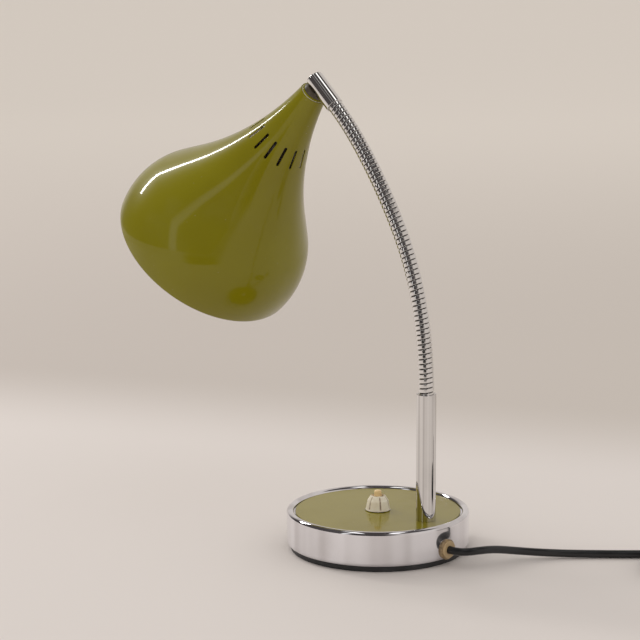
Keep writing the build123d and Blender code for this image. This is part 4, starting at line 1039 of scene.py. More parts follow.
@dataclass
class MainsCord:
    """Free cord from the collar to the plug, as one curve, with the pieces on its end."""

    radius: float = 3.15
    route: tuple[tuple[float, float, float], ...] = (
        (78.0, 0.0, 13.2),
        (86.4, 0.0, 13.2),
        (94.2, 3.2, 14.0),
        (99.4, 9.8, 14.7),
        (102.4, 19.8, 14.2),
        (105.0, 32.4, 12.0),
        (109.2, 46.6, 8.8),
        (116.6, 61.4, 6.0),
        (128.6, 77.0, 4.1),
        (147.4, 95.8, 3.4),
        (170.6, 117.4, 3.3),
        (192.0, 139.0, 3.3),
        (207.4, 155.4, 3.3),
    )
    turns: int = 3
    coil_radius: float = 42.6
    spacing: float = 6.8
    points_per_half: int = 12
    tail: tuple[tuple[float, float], ...] = ((12.0, 10.1), (25.0, 11.5), (37.0, 14.2), (49.0, 14.2))
    real_length: float = 1.786

    def coil(self) -> tuple[np.ndarray, np.ndarray, np.ndarray]:
        """Half circles that wind in on the table, climb a layer and wind out again.

        A half circle from p has its centre at p + R w, with w the right-hand side of the way, and
        goes through p + R w (1 - cos a) + R v sin a. Its height climbs evenly where a layer ends.

        Returns:
            Control points, the end point and the way there.
        """
        point = np.array(self.route[-1])
        way = point - np.array(self.route[-2])
        way /= np.linalg.norm(way)
        inwards = [self.coil_radius - self.spacing / 2 * k for k in range(2 * self.turns)]
        climb = self.coil_radius - self.spacing * self.turns
        radii = inwards + [climb] + inwards[::-1] + [self.coil_radius + self.spacing / 2]
        found = []
        angle = np.linspace(0.0, math.pi, self.points_per_half + 1)[1:, None]
        for index, radius in enumerate(radii):
            side = np.array([way[1], -way[0], 0.0])
            rise = self.spacing if index == len(inwards) else 0.0
            arc = point + radius * (side * (1.0 - np.cos(angle)) + way * np.sin(angle))
            arc[:, 2] += rise * angle[:, 0] / math.pi
            found.append(arc)
            point, way = arc[-1], -way
        return np.vstack(found), point, way

    def plug_axes(self) -> Axes:
        """The plug's frame: its origin where the cord enters, and Z towards the pins."""
        end, way = self.coil()[1:]
        along, lift = self.tail[-1]
        origin = (end[0] + way[0] * along, end[1] + way[1] * along, lift)
        return Axes(origin, (-way[1], way[0], 0.0), (0.0, 0.0, 1.0), tuple(way))

    def curve(self) -> bpy.types.Object:
        """The cord as one smooth curve through the route, the coil and the tail.

        Returns:
            The curve.
        """
        wound, end, way = self.coil()
        last = np.array([(end[0] + way[0] * s, end[1] + way[1] * s, h) for s, h in self.tail])
        points = np.vstack([np.array(self.route), wound, last]) * MM
        data = bpy.data.curves.new("mains_cord", "CURVE")
        data.dimensions = "3D"
        data.bevel_depth = self.radius * MM
        data.bevel_resolution = 6
        data.resolution_u = 6
        data.render_resolution_u = 6
        data.use_fill_caps = True
        line = data.splines.new("NURBS")
        line.points.add(len(points) - 1)
        line.points.foreach_set("co", np.hstack([points, np.ones((len(points), 1))]).ravel())
        line.order_u = 3
        line.use_endpoint_u = True
        data.materials.append(Looks.CORD.material())
        made = link("mains_cord", data)
        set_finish(made, Looks.CORD.slot.value)
        return seat(made, "base", "table_cord", "cord_coil", "cord_tail")

    def plug(self) -> list[bpy.types.Object]:
        """Ribbed boot, waisted body and two pins.

        Returns:
            The three pieces.
        """
        axes = self.plug_axes()
        height = np.linspace(0.0, 24.0, 97)
        ribs = 0.35 * np.clip(np.sin(TAU * height / 3.0), -0.6, 1.0)
        sleeve = rows(4.35 + height / 24.0 + ribs - 0.35, height)
        bore = np.array([[3.2, 24.0], [3.2, 0.0]])
        boot = Skin().grid(turned(np.vstack([sleeve, bore]), axes, 48), closed=True)
        waist = [(0, 24), (7.5, 24, 1.2), (8.4, 27.5, 3), (13.2, 34.5, 4), (14, 40, 3)]
        shape = outline([*waist, (14, 49.2, 1.6), (12.6, 51, 0.8), (0, 51)])
        body = Skin().grid(turned(shape, axes))
        pins = Skin()
        for side in (-9.5, 9.5):
            centre = Axes(tuple(axes.put(np.array([side, 0.0, 0.0]))), axes.x, axes.y, axes.z)
            pins.grid(turned(outline([(0, 51), (2, 51), (2, 70, 1.2), (0, 70)]), centre, 32))
        return [
            seat(boot.build("cord_boot", Looks.RUBBER), "base", "plug_boot", "plug_cord_end"),
            seat(body.build("mains_plug", Looks.BLACK), "base", "plug_body"),
            seat(pins.build("mains_pins", Looks.BRASS), "base", "plug_pins"),
        ]

    def build(self) -> None:
        """The cord and its plug."""
        cord = self.curve()
        pieces = self.plug()


@dataclass
class Base:
    """Spun chrome drum with its inset plate, rubber foot ring and the cord's collar."""

    radius: float = 75.0
    wall: float = 1.2
    foot: float = 4.3
    foot_corner: float = 3.5
    foot_lip: float = 9.0
    bead: float = 3.05
    bead_height: float = 30.4
    ledge: float = 6.9
    plate_top: float = 31.7
    plate_bottom: float = 29.2
    plate_radius: float = 67.8
    support: float = 0.3
    cord_height: float = 13.2
    hole: float = 5.9
    hole_half_width: float = 12.0
    hole_low: float = 9.0
    hole_high: float = 24.0
    columns: int = 192
    cord_radius: float = 3.15
    wire_radius: float = 1.0
    cord_run: tuple[tuple[float, float, float], ...] = (
        (78.0, 0.0, 13.2),
        (64.0, 0.0, 13.2),
        (57.8, -9.9, 12.4),
        (37.0, -10.5, 12.0),
        (20.0, -10.5, 12.0),
    )
    wire_runs: tuple[tuple[tuple[float, float, float], ...], ...] = (
        ((20.0, -11.8, 12.0), (16.0, -11.8, 12.0), (12.0, -9.2, 9.7), (7.2, -6.0, 9.7), (2.2, -6.0, 9.7)),
        ((2.2, 6.0, 9.7), (6.2, 6.0, 9.7), (11.2, 11.0, 9.7), (15.0, 11.7, 13.0), (24.0, 11.7, 13.0)),
        ((20.0, -9.2, 12.0), (17.0, -9.2, 12.0), (14.0, -4.5, 10.0), (16.0, 2.3, 11.0), (23.0, 6.3, 13.0)),
    )

    def shell_profile(self) -> tuple[np.ndarray, np.ndarray]:
        """Outside of the drum from the wall's top down to the lip and back inside, and the bead.

        Returns:
            The lower and the upper profile, which share the pierced belt's edges.
        """
        outer, inner, wall = self.radius, self.radius - self.wall, self.wall
        low, top, corner = self.foot, self.bead_height, self.foot_corner
        quarter, half = np.linspace(0.0, math.pi / 2, 13), np.linspace(0.0, math.pi, 25)
        start = np.linspace(self.hole_low, low + corner, 4)
        lip, small = outer - self.foot_lip, corner - wall
        outside = [
            rows(outer, start),
            rows(outer - corner + corner * np.cos(quarter), low + corner - corner * np.sin(quarter)),
            np.array([(outer - corner - self.support, low), (lip, low), (lip, low + wall)]),
            rows(outer - corner + small * np.sin(quarter), low + corner - small * np.cos(quarter)),
            rows(inner, start[::-1]),
        ]
        rise = np.linspace(self.hole_high, top, 4)
        middle, small = outer - self.bead, self.bead - wall
        inside, drop = middle - self.bead, self.plate_bottom
        bead = [
            rows(outer, rise),
            rows(middle + self.bead * np.cos(half), top + self.bead * np.sin(half)),
            np.array([(inside, drop + self.support), (inside, drop), (inside - self.ledge, drop)]),
            np.array([(inside - self.ledge, drop - wall), (inside + wall, drop - wall), (inside + wall, top)]),
            rows(middle - small * np.cos(half), top + small * np.sin(half)),
            rows(inner, rise[::-1]),
        ]
        return np.vstack(outside), np.vstack(bead)

    def belt(self, skin: Skin) -> None:
        """Adds the wall between the two profiles, pierced for the cord's collar.

        The pierced patch is a ring of columns from a rectangle on the wall, outside, to the round
        hole, through it, and back to the rectangle on the inside.

        Args:
            skin: The mesh that it goes to.
        """
        step = TAU / self.columns
        half = round(self.hole_half_width / self.radius / step) * step
        count = int(round(2 * half / step))
        levels = np.linspace(self.hole_low, self.hole_high, 13)
        rest = np.linspace(half, TAU - half, self.columns - count + 1)
        reaches = (self.radius, self.radius - self.wall)
        for reach in reaches:
            skin.grid(swung(reach, rest, levels[:, None]), around=False)
        edge = border(np.linspace(-half, half, count + 1), levels)
        flat = edge * np.array([self.radius, 1.0]) - np.array([0.0, self.cord_height])
        bearing = np.arctan2(flat[:, 1], flat[:, 0])
        share = np.linspace(0.0, 1.0, 6)[:, None, None]
        sheet = flat * (1.0 - share) + self.hole * rows(np.cos(bearing), np.sin(bearing)) * share
        outside, inside = (swung(r, sheet[..., 0] / self.radius, sheet[..., 1] + self.cord_height) for r in reaches)
        skin.grid(np.concatenate([outside, inside[::-1]]))

    def shell(self) -> None:
        """Chrome drum: foot, pierced wall, rolled bead and the ledge under the plate."""
        skin = Skin()
        for profile in self.shell_profile():
            skin.grid(turned(profile, steps=self.columns))
        self.belt(skin)
        seat(skin.build("base_drum", Looks.DRUM), "base", "base_shell")

    def discs(self) -> None:
        """Green inset disc with the switch's hole, and the black rubber foot ring."""
        low, high, reach = self.plate_bottom, self.plate_top, self.plate_radius
        plate = outline([(5.2, high, 0.2), (5.2, low), (reach, low), (reach, high, 0.5)])
        corners = [(63, 0, 0.6), (71.7, 0, 1.2), (71.7, 4.3, 0.2), (70, 4.3), (70, 3.1), (63, 3.1, 0.3)]
        ring = outline(corners, arc_steps=5)
        for shape, name, finish, node in (
            (plate, "base_plate", Looks.PLATE_PAINTED_LIGHTER, "top_plate"),
            (ring, "rubber_ring", Looks.RUBBER, "foot_ring"),
        ):
            skin = Skin().grid(turned(shape, steps=self.columns), closed=True)
            seat(skin.build(name, finish), "base", node)

    def collar(self) -> None:
        """Two-step tan collar that the cord leaves by, cupped to the drum's wall.

        Its surface is turned about the cord's axis, and the flange's back follows the wall:
        depth = sqrt(R R - y y), with y the distance from the middle plane.
        """
        axes = Axes((0.0, 0.0, self.cord_height), (0.0, 1.0, 0.0), (0.0, 0.0, 1.0), (1.0, 0.0, 0.0))
        face = self.radius + 1.5
        corners = [(3.25, 71.8), (3.25, 78, 0.25), (7.1, 78, 0.45), (7.1, face + 0.02, 0.12), (8.3, face, 0.5)]
        shape = outline([*corners, (8.3, 73.6)])
        front = turned(shape, axes, 72)
        cut = (shape[:, 0] > 8.2) & (shape[:, 1] < 74.0)
        front[cut, :, 0] = np.sqrt(self.radius**2 - front[cut, :, 1] ** 2)
        middle = turned(np.array([(5.8, 75.0)]), axes, 72)
        middle[..., 0] = np.sqrt(self.radius**2 - middle[..., 1] ** 2)
        back = turned(np.array([(5.8, 73.8), (5.8, 71.8), (3.25, 71.8)]), axes, 72)
        whole = np.concatenate([front, middle, back])
        reach = np.hypot(whole[..., 1], whole[..., 2] - self.cord_height)
        # Darker on the flange and at the foot of the step by the drum's wall: painted shade where collar and wall
        # meet.
        dirt_and_shade = np.clip((reach - 6.7) / 0.5, 0, 1) * np.clip((face + 0.5 - whole[..., 0]) / 0.6, 0, 1)
        seat(Skin().grid(whole, dirt_and_shade=dirt_and_shade).build("cord_exit_collar", Looks.TAN), "base", "cord_collar")

    def wiring(self) -> None:
        """The cord's end in the base and the three single wires from it."""
        level = (0.0, 0.0, 1.0)
        cord = Skin().grid(hose(spline(self.cord_run, 12), self.cord_radius, level, 24))
        wires = Skin()
        for slot, run in enumerate(self.wire_runs):
            wires.grid(hose(spline(run), self.wire_radius, level), slot=slot % 2)
        seat(cord.build("cord_inside", Looks.CORD), "base", "cord_in_base")
        seat(wires.build("wires_inside", Looks.PORCELAIN, Looks.DARK), "base", "base_wires")

    def build(self) -> None:
        """All pieces of the drum."""
        self.shell()
        self.discs()
        self.collar()
        self.wiring()


@dataclass
class Switch:
    """Push button in a fluted dome on the plate's middle."""

    plate_top: float = 31.7
    flutes: int = 6
    flute_turn: float = 64.0
    flute_depth: float = 0.62
    flute_half_width: float = 0.09
    row_length: float = 0.5
    button_radius: float = 3.05
    button_top: float = 48.4
    spring_low: float = 16.0
    spring_length: float = 9.0
    travel: float = 3.0

    def dome(self) -> None:
        """Ivory collar: radius = profile(z) - depth f(a) g(z), f a rounded pulse at each flute."""
        foot = [(10.4, 0, 0.1), (10.3, 0.7, 0.3), (9.9, 1.5, 0.4)]
        outside = outline([*foot, (8.6, 8.2, 3.5), (6.2, 12.1, 2.0), (4.9, 12.9, 0.4)], arc_steps=8)
        hole = outline([(3.8, 12.9, 0.25), (3.8, 8.1), (5.05, 8.1), (5.05, 0.0)], arc_steps=4)
        shape = np.vstack([outside, hole])
        dense = [shape[:1]]
        for start, end in zip(shape[:-1], shape[1:]):
            cuts = max(1, int(np.linalg.norm(end - start) / self.row_length))
            dense.append(start + (end - start) * np.linspace(0, 1, cuts + 1)[1:, None])
        shape = np.vstack(dense)
        points = turned(shape, Axes((0.0, 0.0, self.plate_top)), 256)
        angle = np.arctan2(points[..., 1], points[..., 0])
        reach = np.hypot(points[..., 0], points[..., 1])
        sector = TAU / self.flutes
        off = np.abs((angle + math.radians(self.flute_turn) + TAU) % sector - sector / 2)
        pulse = np.clip(1.0 - (off / self.flute_half_width) ** 2, 0.0, 1.0) ** 0.8
        radius, level = shape[:, :1], shape[:, 1:]
        window = np.clip((level - 1.2) / 0.8, 0, 1) * np.clip((12.6 - level) / 1.6, 0, 1) * (radius > 5.2)
        points[..., :2] *= ((reach - self.flute_depth * pulse * window) / reach)[..., None]
        # Darker at the foot against the plate and in the well round the button: painted shade. In the flutes:
        # soiling and painted shade.
        foot_shade = np.clip((1.6 - level) / 1.0, 0, 1) * (radius > 8.5)
        well_shade = (radius < 4.2) & (level > 5.0)
        dirt_and_shade = np.clip(pulse * window + foot_shade * 0.6 + well_shade, 0, 1)
        skin = Skin().grid(points, closed=True, dirt_and_shade=dirt_and_shade)
        seat(skin.build("switch_dome", Looks.IVORY), "base", "switch_collar")

    def button(self) -> None:
        """Ochre push rod with a rounded top and its stop flange."""
        top, radius = self.button_top, self.button_radius
        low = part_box("switch_button")[0][2] / MM
        flange = low + 2.0
        corners = [(0, low), (4.6, low, 0.2), (4.6, flange, 0.2), (radius, flange), (radius, top, 1.3), (0, top)]
        skin = Skin().grid(turned(outline(corners, 8), steps=64))
        seat(skin.build("push_button", Looks.OCHRE), "button", "switch_button")

    def spring(self) -> None:
        """Return spring under the button: (r cos a, r sin a, z), z rising over four turns."""
        angle = np.linspace(0.0, 4 * TAU, 193)
        height = self.spring_low + 0.4 + (self.spring_length - 0.8) * angle / angle[-1]
        skin = Skin().grid(hose(swung(3.1, angle, height), 0.4, (0.0, 0.0, 1.0), 10))
        made = seat(skin.build("return_spring", Looks.STEEL), "base", "switch_spring")
        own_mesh(made)

    def build(self) -> None:
        """Dome, button and spring."""
        self.dome()
        self.button()
        self.spring()


@dataclass
class Neck:
    """Stem tube and the wound gooseneck, cut into pieces round the joints."""

    stem_x: float = 48.8
    stem_y: float = 4.0
    stem_radius: float = 8.0
    stem_bore: float = 6.3
    stem_low: float = 31.7
    stem_top: float = 136.3
    pitch: float = 3.93
    turns: int = 5
    joints: int = 13
    in_stem: float = 11.2
    low_end: float = -10.7
    high_end: float = 263.6
    crest: float = 6.2
    band_half: float = 1.7
    facets: int = 40
    wire_radius: float = 1.0
    wire_spread: float = 1.3
    from_far_end: tuple[int, ...] = (6,)
    bends: tuple[tuple[float, float], ...] = ((60.0, 10.5), (76.0, 18.0), (79.0, 10.5), (37.7, 8.75))

    def line(self, distance: np.ndarray) -> tuple[np.ndarray, np.ndarray]:
        """Centre line of the neck: arcs of growing lean, straight before and after.

        On an arc of radius R from lean b, a run s leads to lean b + s / R, and moves the point by
        R (cos b - cos(b + s / R)) to -X and by R (sin(b + s / R) - sin b) up.

        Args:
            distance: Distances along the neck from the stem's top, in millimetres.

        Returns:
            Points, and the way outwards on the neck's outer side.
        """
        reach, tilt = np.zeros_like(distance), np.zeros_like(distance)
        height = np.minimum(distance, 0.0) + self.stem_top
        left, lean = distance.copy(), 0.0
        for length, turn in self.bends:
            radius = length / math.radians(turn)
            share = np.clip(left, 0.0, length)
            end = lean + share / radius
            reach += radius * (math.cos(lean) - np.cos(end))
            height += radius * (np.sin(end) - math.sin(lean))
            tilt += math.radians(turn) * (share / length)
            lean += math.radians(turn)
            left = left - length
        over = np.maximum(left, 0.0)
        reach += over * math.sin(lean)
        height += over * math.cos(lean)
        return rows(self.stem_x - reach, self.stem_y, height), rows(np.cos(tilt), 0.0, np.sin(tilt))

    def joint(self, index: int) -> float:
        """Distance of a joint along the neck from the stem's top."""
        return self.turns * self.pitch * index - self.in_stem

    def wound(self, start: float, end: float, section: np.ndarray, shift: float) -> np.ndarray:
        """A strip wound right-handed about the centre line.

        At a distance s the strip stands at the angle a = 2 pi s / pitch. A point of its section
        at radius r and offset z is C(s + z) + r (cos a N + sin a Y).

        Args:
            start: Distance where the strip starts.
            end: Distance where it ends.
            section: Closed loop of radius and offset.
            shift: Offset of the whole strip along the neck.

        Returns:
            Rows along the strip by columns round its section, with a pole at each end.
        """
        count = int(round((end - start) / self.pitch * self.facets))
        run = np.linspace(start, end, count + 1)
        angle = (TAU * run / self.pitch)[:, None, None]
        centre, out = self.line(run[:, None] + section[None, :, 1] + shift)
        side = np.array([0.0, 1.0, 0.0])
        rings = centre + section[None, :, 0, None] * (np.cos(angle) * out + np.sin(angle) * side)
        poles = np.broadcast_to(rings.mean(axis=1, keepdims=True), rings.shape)
        return np.concatenate([poles[:1], rings, poles[-1:]])

    def band_section(self) -> np.ndarray:
        """Nearly flat band: r = crest - 0.015 u^2 - 0.45 |u|^14 over its width, closed by a flat back."""
        half = np.array([0.0, 0.25, 0.5, 0.68, 0.8, 0.88, 0.95, 1.0])
        share = np.concatenate([-half[:0:-1], half])
        drop = 0.015 * share**2 + 0.45 * np.abs(share) ** 14
        return np.vstack([rows(self.crest - drop, self.band_half * share), [(4.75, 1.45), (4.75, -1.45)]])

    def core_section(self) -> np.ndarray:
        """Filler under the gap between two turns: a low round ridge."""
        share = np.linspace(-1.0, 1.0, 7)
        return np.vstack([rows(5.25 - 0.5 * share**2, 0.95 * share), [(4.45, 0.95), (4.45, -0.95)]])

    def piece(self, index: int) -> None:
        """One piece round a joint, with the two wires inside it.

        Args:
            index: The joint's number, from 1.
        """
        half = self.turns * self.pitch / 2
        at = self.joint(index)
        start, end = at - half, at + half
        start = self.low_end if index == 1 else start
        end = self.high_end if index == self.joints else end
        low, high = self.line(np.array([at - half, at + half]))[0] * MM
        stands = ["neck_foot"] if index == 1 else [f"neck_section_{index - 1:02d}"]
        stands += ["neck_tip"] if index == self.joints else []
        skin = Skin()
        skin.grid(self.wound(start, end, self.band_section(), 0.0))
        skin.grid(self.wound(start, end, self.core_section(), self.pitch / 2), slot=1)
        made = skin.build(f"gooseneck_{index:02d}", Looks.NECK_CHROME, Looks.NECK_CORE, crease=50.0)
        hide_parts(*stands)
        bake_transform(made)
        spots = np.linspace(start, end, 25)
        centre = self.line(spots)[0]
        wires = Skin()
        for side in (-1.0, 1.0):
            shifted = centre + np.array([0.0, side * self.wire_spread, 0.0])
            wires.grid(hose(shifted, self.wire_radius), slot=0 if side < 0 else 1)
        made = wires.build(f"neck_wires_{index:02d}", Looks.PORCELAIN, Looks.DARK)
        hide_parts("lamp_wires")
        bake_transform(made)

    def stem(self) -> None:
        """Plain chrome tube with a rounded mouth."""
        outer, bore, low, top = self.stem_radius, self.stem_bore, self.stem_low, self.stem_top
        shape = outline([(outer, low, 0.2), (outer, top, 0.45), (bore, top, 0.3), (bore, low)])
        skin = Skin().grid(turned(shape, Axes((self.stem_x, self.stem_y, 0.0))), closed=True)
        seat(skin.build("stem", Looks.STEM), "base", "stem_tube")

    def wire_ends(self, head: Axes) -> None:
        """The two lamp wires below the neck, from the connector, and above it, to the lampholder.

        Args:
            head: The shade's frame.
        """
        origin, sideways, down = (np.array(value) for value in (head.origin, head.x, head.z))
        low, high = self.line(np.array([self.low_end, self.high_end]))[0]
        foot = np.array([self.stem_x, self.stem_y, 6.8])
        for name, body in (("low", "base"), ("high", "head")):
            skin = Skin()
            for slot, side in enumerate((-1.0, 1.0)):
                shift = np.array([0.0, side * self.wire_spread, 0.0])
                run = [(30.0, 9.0 + side * 2.7, 13.0), (36.0, 9.0 + side * 2.7, 13.0)]
                run += [foot - (8.0, 0.0, 0.0) + shift, foot + shift, foot + (0.0, 0.0, 9.0) + shift, low + shift]
                if body == "head":
                    run = [high + shift, origin - sideways * 3.0 + shift]
                    run += [origin + down * 3.0 + shift, origin + down * 30.0 + shift, origin + down * 65.0 + shift]
                skin.grid(hose(spline(run), self.wire_radius), slot=slot)
            made = skin.build(f"lamp_wires_{name}", Looks.PORCELAIN, Looks.DARK)
            seat(made, body, "lamp_wires")

    def build(self) -> None:
        """Stem, gooseneck and the ends of the wires in it."""
        self.stem()
        self.wire_ends(Head().axes)
        for index in range(1, self.joints + 1):
            self.piece(index)


@dataclass
class Head:
    """Sleeve, spun shade, lampholder and bulb, in the frame of the shade's axis."""

    axes: Axes = Axes(
        (-69.062, 4.0, 375.909),
        (-0.74021813, 0.0, 0.67236681),
        (0.0, 1.0, 0.0),
        (-0.67236681, 0.0, -0.74021813),
    )
    sleeve_radius: float = 7.2
    sleeve_low: float = -23.4
    sleeve_high: float = 8.4
    shade_top: float = 8.45
    wall: float = 1.0
    neck_radius: float = 11.5
    flare_radius: float = 290.0
    first_slope: float = 8.0
    flare_slope: float = 34.0
    flare_end: float = 131.256
    cone_end: float = 151.153
    belly: tuple[float, float, float] = (12.816, 190.855, 71.0)
    rim_slope: float = 9.0
    sectors: int = 14
    per_sector: int = 12
    slot_low: float = 55.5
    slot_high: float = 72.0
    slot_half: float = 1.2
    belt_low: float = 48.0
    belt_high: float = 80.0
    crown_rows: int = 20
    slot_rounding: tuple[tuple[float, float], ...] = (
        (0.35, 0.0),
        (0.15, 0.03),
        (0.04, 0.12),
        (0.0, 0.3),
        (0.0, 0.7),
        (0.04, 0.88),
        (0.15, 0.97),
        (0.35, 1.0),
    )

    def flare(self, height: np.ndarray, depth: Union[np.ndarray, float]) -> tuple[np.ndarray, np.ndarray]:
        """The flare's profile, a circle: sin b = sin b0 + (z - z0) / R, r = r0 + R (cos b0 - cos b).

        Args:
            height: Distances down the shade's axis on the outside.
            depth: How far inside the outer surface, square to it.

        Returns:
            Radius and height of each point.
        """
        first = math.radians(self.first_slope)
        slope = np.arcsin(math.sin(first) + (height - self.shade_top - 1.0) / self.flare_radius)
        radius = self.neck_radius + self.flare_radius * (math.cos(first) - np.cos(slope))
        return radius - depth * np.cos(slope), height + depth * np.sin(slope)

    def crown(self) -> np.ndarray:
        """Closed top from the inside of the belt's upper edge over the pipe hole to its outside."""
        down = np.linspace(self.belt_low, self.shade_top + 1.0, self.crown_rows)
        up = np.linspace(self.shade_top + 1.2, self.belt_low, 24)
        top = outline([(10.5, 9.45), (5.0, 9.45, 0.15), (5.0, 8.45, 0.15), (11.35, 8.45, 0.9)], arc_steps=5)
        inner, outer = self.flare(down, self.wall), self.flare(up, 0.0)
        return np.vstack([rows(*inner), top[1:-1], rows(*outer)])

    def skirt(self) -> tuple[np.ndarray, int]:
        """Lower part from the belt's outside down to the rim and back up inside.

        Returns:
            The profile and the number of rows that are outside.
        """
        run = np.linspace(self.belt_high, self.flare_end, 14)
        centre_r, centre_z, radius = self.belly
        slope = np.radians(np.linspace(self.flare_slope, -self.rim_slope, 28))

        def side(depth: float) -> np.ndarray:
            """One surface of the wall, at a depth inside the outer one."""
            reach = radius - depth
            belly = rows(centre_r + reach * np.cos(slope), centre_z - reach * np.sin(slope))
            return np.vstack([rows(*self.flare(run, depth)), belly])

        outer, inner = side(0.0), side(self.wall)
        turn = np.linspace(0.0, math.pi, 7)[1:-1, None]
        middle, half = (outer[-1] + inner[-1]) / 2, (outer[-1] - inner[-1]) / 2
        onward = np.array([-half[1], half[0]])
        lip = middle + half * np.cos(turn) + onward * np.sin(turn)
        return np.vstack([outer, lip, inner[::-1]]), len(outer) + 1

    def belt(self, skin: Skin) -> None:
        """Adds the band of sectors, each a ring of 48 columns from its edge to its slot.

        In a sector the place is (height, distance across). Rows go from the sector's edge on the
        outside to the slot, round its softened edge through the wall, and back on the inside.

        Args:
            skin: The mesh that it goes to.
        """
        middle, half, count = (self.slot_low + self.slot_high) / 2, math.pi / self.sectors, self.per_sector
        straight = (self.slot_high - self.slot_low) / 2 - self.slot_half
        down = np.linspace(self.belt_low, self.belt_high, count + 1)
        edge = border(np.linspace(-half, half, count + 1), down)[:, ::-1]
        quarter = np.linspace(-math.pi / 2, math.pi / 2, count + 1)
        cap, level = rows(np.cos(quarter), np.sin(quarter)), np.zeros((count - 1, 2))
        way = np.vstack([cap * (-1, 1), level + (0, 1), cap[::-1], level + (0, -1)])
        run, end = np.linspace(-straight, straight, count + 1), np.full(count + 1, straight)
        base = np.concatenate([-end, run[1:-1], end, run[::-1][1:-1]])

        def stadium(grow: float) -> np.ndarray:
            """The slot's outline, grown all round, as height and distance across."""
            reach = self.slot_half + grow
            return rows(middle + base + reach * way[:, 0], reach * way[:, 1])

        flat = rows(edge[:, 0], edge[:, 1] * self.flare(edge[:, 0], 0.0)[0])
        share = np.linspace(0.0, 1.0, 6)[:, None, None]
        sheet = flat * (1 - share) + stadium(self.slot_rounding[0][0]) * share
        rounded = [stadium(grow) for grow, _ in self.slot_rounding[1:]]
        place = np.concatenate([sheet, rounded, sheet[-2::-1]])
        depths = [0.0] * len(sheet) + [deep for _, deep in self.slot_rounding[1:]] + [1.0] * (len(sheet) - 1)
        radius, height = self.flare(place[..., 0], np.array(depths)[:, None] * self.wall)
        bearing = place[..., 1] / self.flare(place[..., 0], 0.0)[0]
        slots = np.repeat((0, 1), (12, len(depths) - 13))
        for index in range(self.sectors):
            points = swung(radius, bearing + (2 * index + 1) * half, height)
            skin.grid(self.axes.put(points), slot=slots)

    def shade(self) -> None:
        """Spun shade: closed crown, slotted belt, flared skirt and a soft rim, white inside."""
        skin = Skin()
        columns = self.sectors * self.per_sector
        crown, (skirt, outside) = self.crown(), self.skirt()
        inside = np.arange(len(crown) - 1) < self.crown_rows
        skin.grid(turned(crown, self.axes, columns), slot=inside.astype(int))
        within = np.arange(len(skirt) - 1) >= outside
        skin.grid(turned(skirt, self.axes, columns), slot=within.astype(int))
        self.belt(skin)
        seat(skin.build("shade_spun", Looks.OLIVE, Looks.INSIDE), "head", "shade")

    def screw(self, thread: Sequence[float], bore: Sequence[Sequence[float]], steps: int = 72) -> Skin:
        """A threaded tube about the shade's axis.

        Args:
            thread: Start, end, crest radius, depth and pitch of the thread.
            bore: Radius and height of the corners inside it.
            steps: Columns round the turn.

        Returns:
            The skin.
        """
        return Skin().grid(threaded(*thread, self.axes, steps)).grid(turned(np.array(bore), self.axes, steps))

    def saddle(self) -> np.ndarray:
        """Washer whose upper side follows the sleeve: z = sqrt(R R - y y), at least its rim's height.

        Returns:
            Points in the head's frame.
        """
        under = [(5.0, 0), (6.0, 0), (7.0, 0), (7.8, 0), (8.4, 0), (8.9, 0), (9.2, 0.15), (9.4, 0.6)]
        ring = np.array([*under, (9.4, 8.1), (9.1, 8.45), (5.0, 8.45)])
        points = turned(ring, steps=72)
        top = ring[:, 1] < 1.0
        across = np.clip(np.abs(points[top, :, 1]), 0.0, 5.6)
        rise = np.sqrt((self.sleeve_radius + 0.05) ** 2 - across**2)
        fade = np.clip((9.4 - ring[top, 0]) / 1.4, 0.0, 1.0)[:, None]
        points[top, :, 2] += 7.25 + (rise - 7.25) * fade
        return points

    def sleeve(self) -> None:
        """Chrome end sleeve, the dark washer under it and the threaded pipe."""
        side = Axes(self.axes.origin, self.axes.y, self.axes.z, self.axes.x)
        low, high, radius = self.sleeve_low, self.sleeve_high, self.sleeve_radius
        socket = low + 13.5
        shell = [(0, high), (radius, high, 0.9), (radius, low, 0.3), (6.3, low, 0.3)]
        shape = outline([*shell, (6.3, socket), (3.5, socket), (3.5, 3.0), (0, 3.0)])
        body = Skin().grid(turned(shape, side))
        washer = Skin().grid(self.axes.put(self.saddle()), closed=True)
        pipe = self.screw((2.0, 51.0, 4.8, 0.3, 1.0), [(4.5, 51.0), (3.2, 51.0), (3.2, 2.0), (4.5, 2.0)], 40)
        seat(body.build("sleeve", Looks.CHROME), "head", "end_sleeve")
        seat(washer.build("washer", Looks.WASHER), "head", "seat_washer")
        seat(pipe.build("threaded_pipe", Looks.BRASS), "head", "head_pipe")

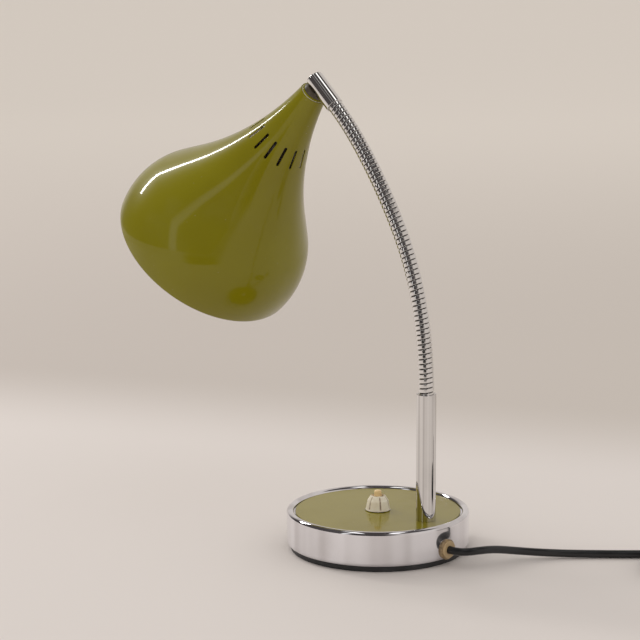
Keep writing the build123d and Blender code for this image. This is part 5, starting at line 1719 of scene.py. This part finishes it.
    def holder(self) -> None:
        """Lampholder: domed cap, threaded skirt, ribbed ring, insert, shell and contact."""
        axes = self.axes
        dome = [(4.9, 44), (9, 44, 0.5), (9, 47.5, 1), (17.5, 58, 3), (19.5, 61, 1.5), (19.5, 66)]
        cap = outline([*dome, (17.5, 66), (17.5, 60), (7, 51), (4.9, 51)])
        insert = outline([(3.2, 66), (17.3, 66, 0.5), (17.3, 79, 0.5), (3.2, 79, 0.5)])
        contact = outline([(0, 79), (3, 79), (3, 81.4, 0.8), (0, 82)])
        ribs = turned(outline([(19.6, 77.3), (21.5, 77.3, 0.4), (21.5, 85.3, 0.4), (19.6, 85.3)]), axes, 240)
        angle = np.linspace(0.0, TAU, 240, endpoint=False)
        local = (ribs - np.array(axes.origin)) @ np.array([axes.x, axes.y, axes.z]).T
        reach = np.hypot(local[..., 0], local[..., 1])
        local[..., :2] *= (1.0 - 0.018 * (0.5 - 0.5 * np.cos(40 * angle))[None] * (reach > 20.5))[..., None]
        skirt_bore = [(19.0, 100.0), (17.5, 100.0), (17.5, 66.0), (19.0, 66.0)]
        shell_bore = [(13.8, 99.0), (13.5, 99.0), (13.5, 79.0), (13.8, 79.0)]
        for name, node, finish, skin in (
            ("cap", "cap", Looks.DARK, Skin().grid(turned(cap, axes), closed=True)),
            ("skirt", "body", Looks.DARK, self.screw((66.0, 100.0, 19.5, 0.5, 2.5), skirt_bore, 96)),
            ("ring", "ring", Looks.DARK, Skin().grid(axes.put(local), closed=True)),
            ("insert", "insert", Looks.PORCELAIN, Skin().grid(turned(insert, axes, 72), closed=True)),
            ("shell", "shell", Looks.BRASS, self.screw((79.0, 99.0, 14.2, 0.4, 3.6), shell_bore)),
            ("contact", "contact", Looks.BRASS, Skin().grid(turned(contact, axes, 32))),
        ):
            seat(skin.build(f"lampholder_{name}", finish), "head", f"holder_{node}")

    def bulb(self) -> None:
        """Screw-cap bulb: threaded aluminium cap and an opal pear of glass."""
        tip = [(0.0, 82.0), (3.6, 82.0), (4.2, 82.8), (9.5, 84.0), (12.5, 84.5)]
        mouth = [(12.5, 103.0), (13.1, 104.0), (13.1, 107.6), (12.7, 108.0), (0.0, 108.0)]
        cap = self.screw((84.5, 103.0, 13.2, 0.7, 3.6), tip).grid(turned(np.array(mouth), self.axes, 72))
        reach, middle, big, small = 48.0, 156.0, 30.0, 14.5
        lean = math.atan2(reach, small) - math.acos(big / math.hypot(reach, small))
        sweep = np.linspace(lean, -math.pi / 2, 40)
        round_end = rows(big * np.cos(sweep), middle - big * np.sin(sweep))
        neck = np.array([(0.0, 108.05), (13.9, 108.05), (small, 108.7)])
        straight = neck[-1] + (round_end[0] - neck[-1]) * np.linspace(0.1, 0.9, 9)[:, None]
        glass = Skin().grid(turned(np.vstack([neck, straight, round_end]), self.axes))
        seat(cap.build("bulb_screw_cap", Looks.ALUMINIUM), "head", "bulb_cap")
        seat(glass.build("bulb_envelope", Looks.GLASS), "head", "bulb_glass")

    def build(self) -> None:
        """All pieces of the head."""
        self.sleeve()
        self.shade()
        self.holder()
        self.bulb()


@dataclass
class Innards:
    """CAD nodes that stay as they are and take a finish."""

    finishes: tuple[tuple[Finish, tuple[str, ...]], ...] = (
        (Looks.IRON, ("base_weight",)),
        (Looks.STEEL, ("bottom_cover", "cover_screws", "stem_washer", "clamp_screws")),
        (Looks.BRASS, ("stem_plug", "stem_pipe", "stem_nut", "switch_bushing", "switch_terminals", "shade_nut")),
        (Looks.DARK, ("switch_body", "cord_clamp")),
        (Looks.PORCELAIN, ("connector_block",)),
    )

    def build(self) -> None:
        """Gives each kept node its finish."""
        for finish, names in self.finishes:
            for name in names:
                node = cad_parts[name]
                node.data.materials.clear()
                node.data.materials.append(finish.material())
                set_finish(node, finish.slot.value)


def main() -> None:
    """Builds the studio, then the lamp from its cord to its head."""
    logging.basicConfig(level=logging.INFO, format="%(message)s")
    for part in (Studio(), MainsCord(), Base(), Switch(), Neck(), Head(), Innards()):
        LOG.info("building %s", type(part).__name__)
        part.build()


if __name__ == "__main__":
    main()
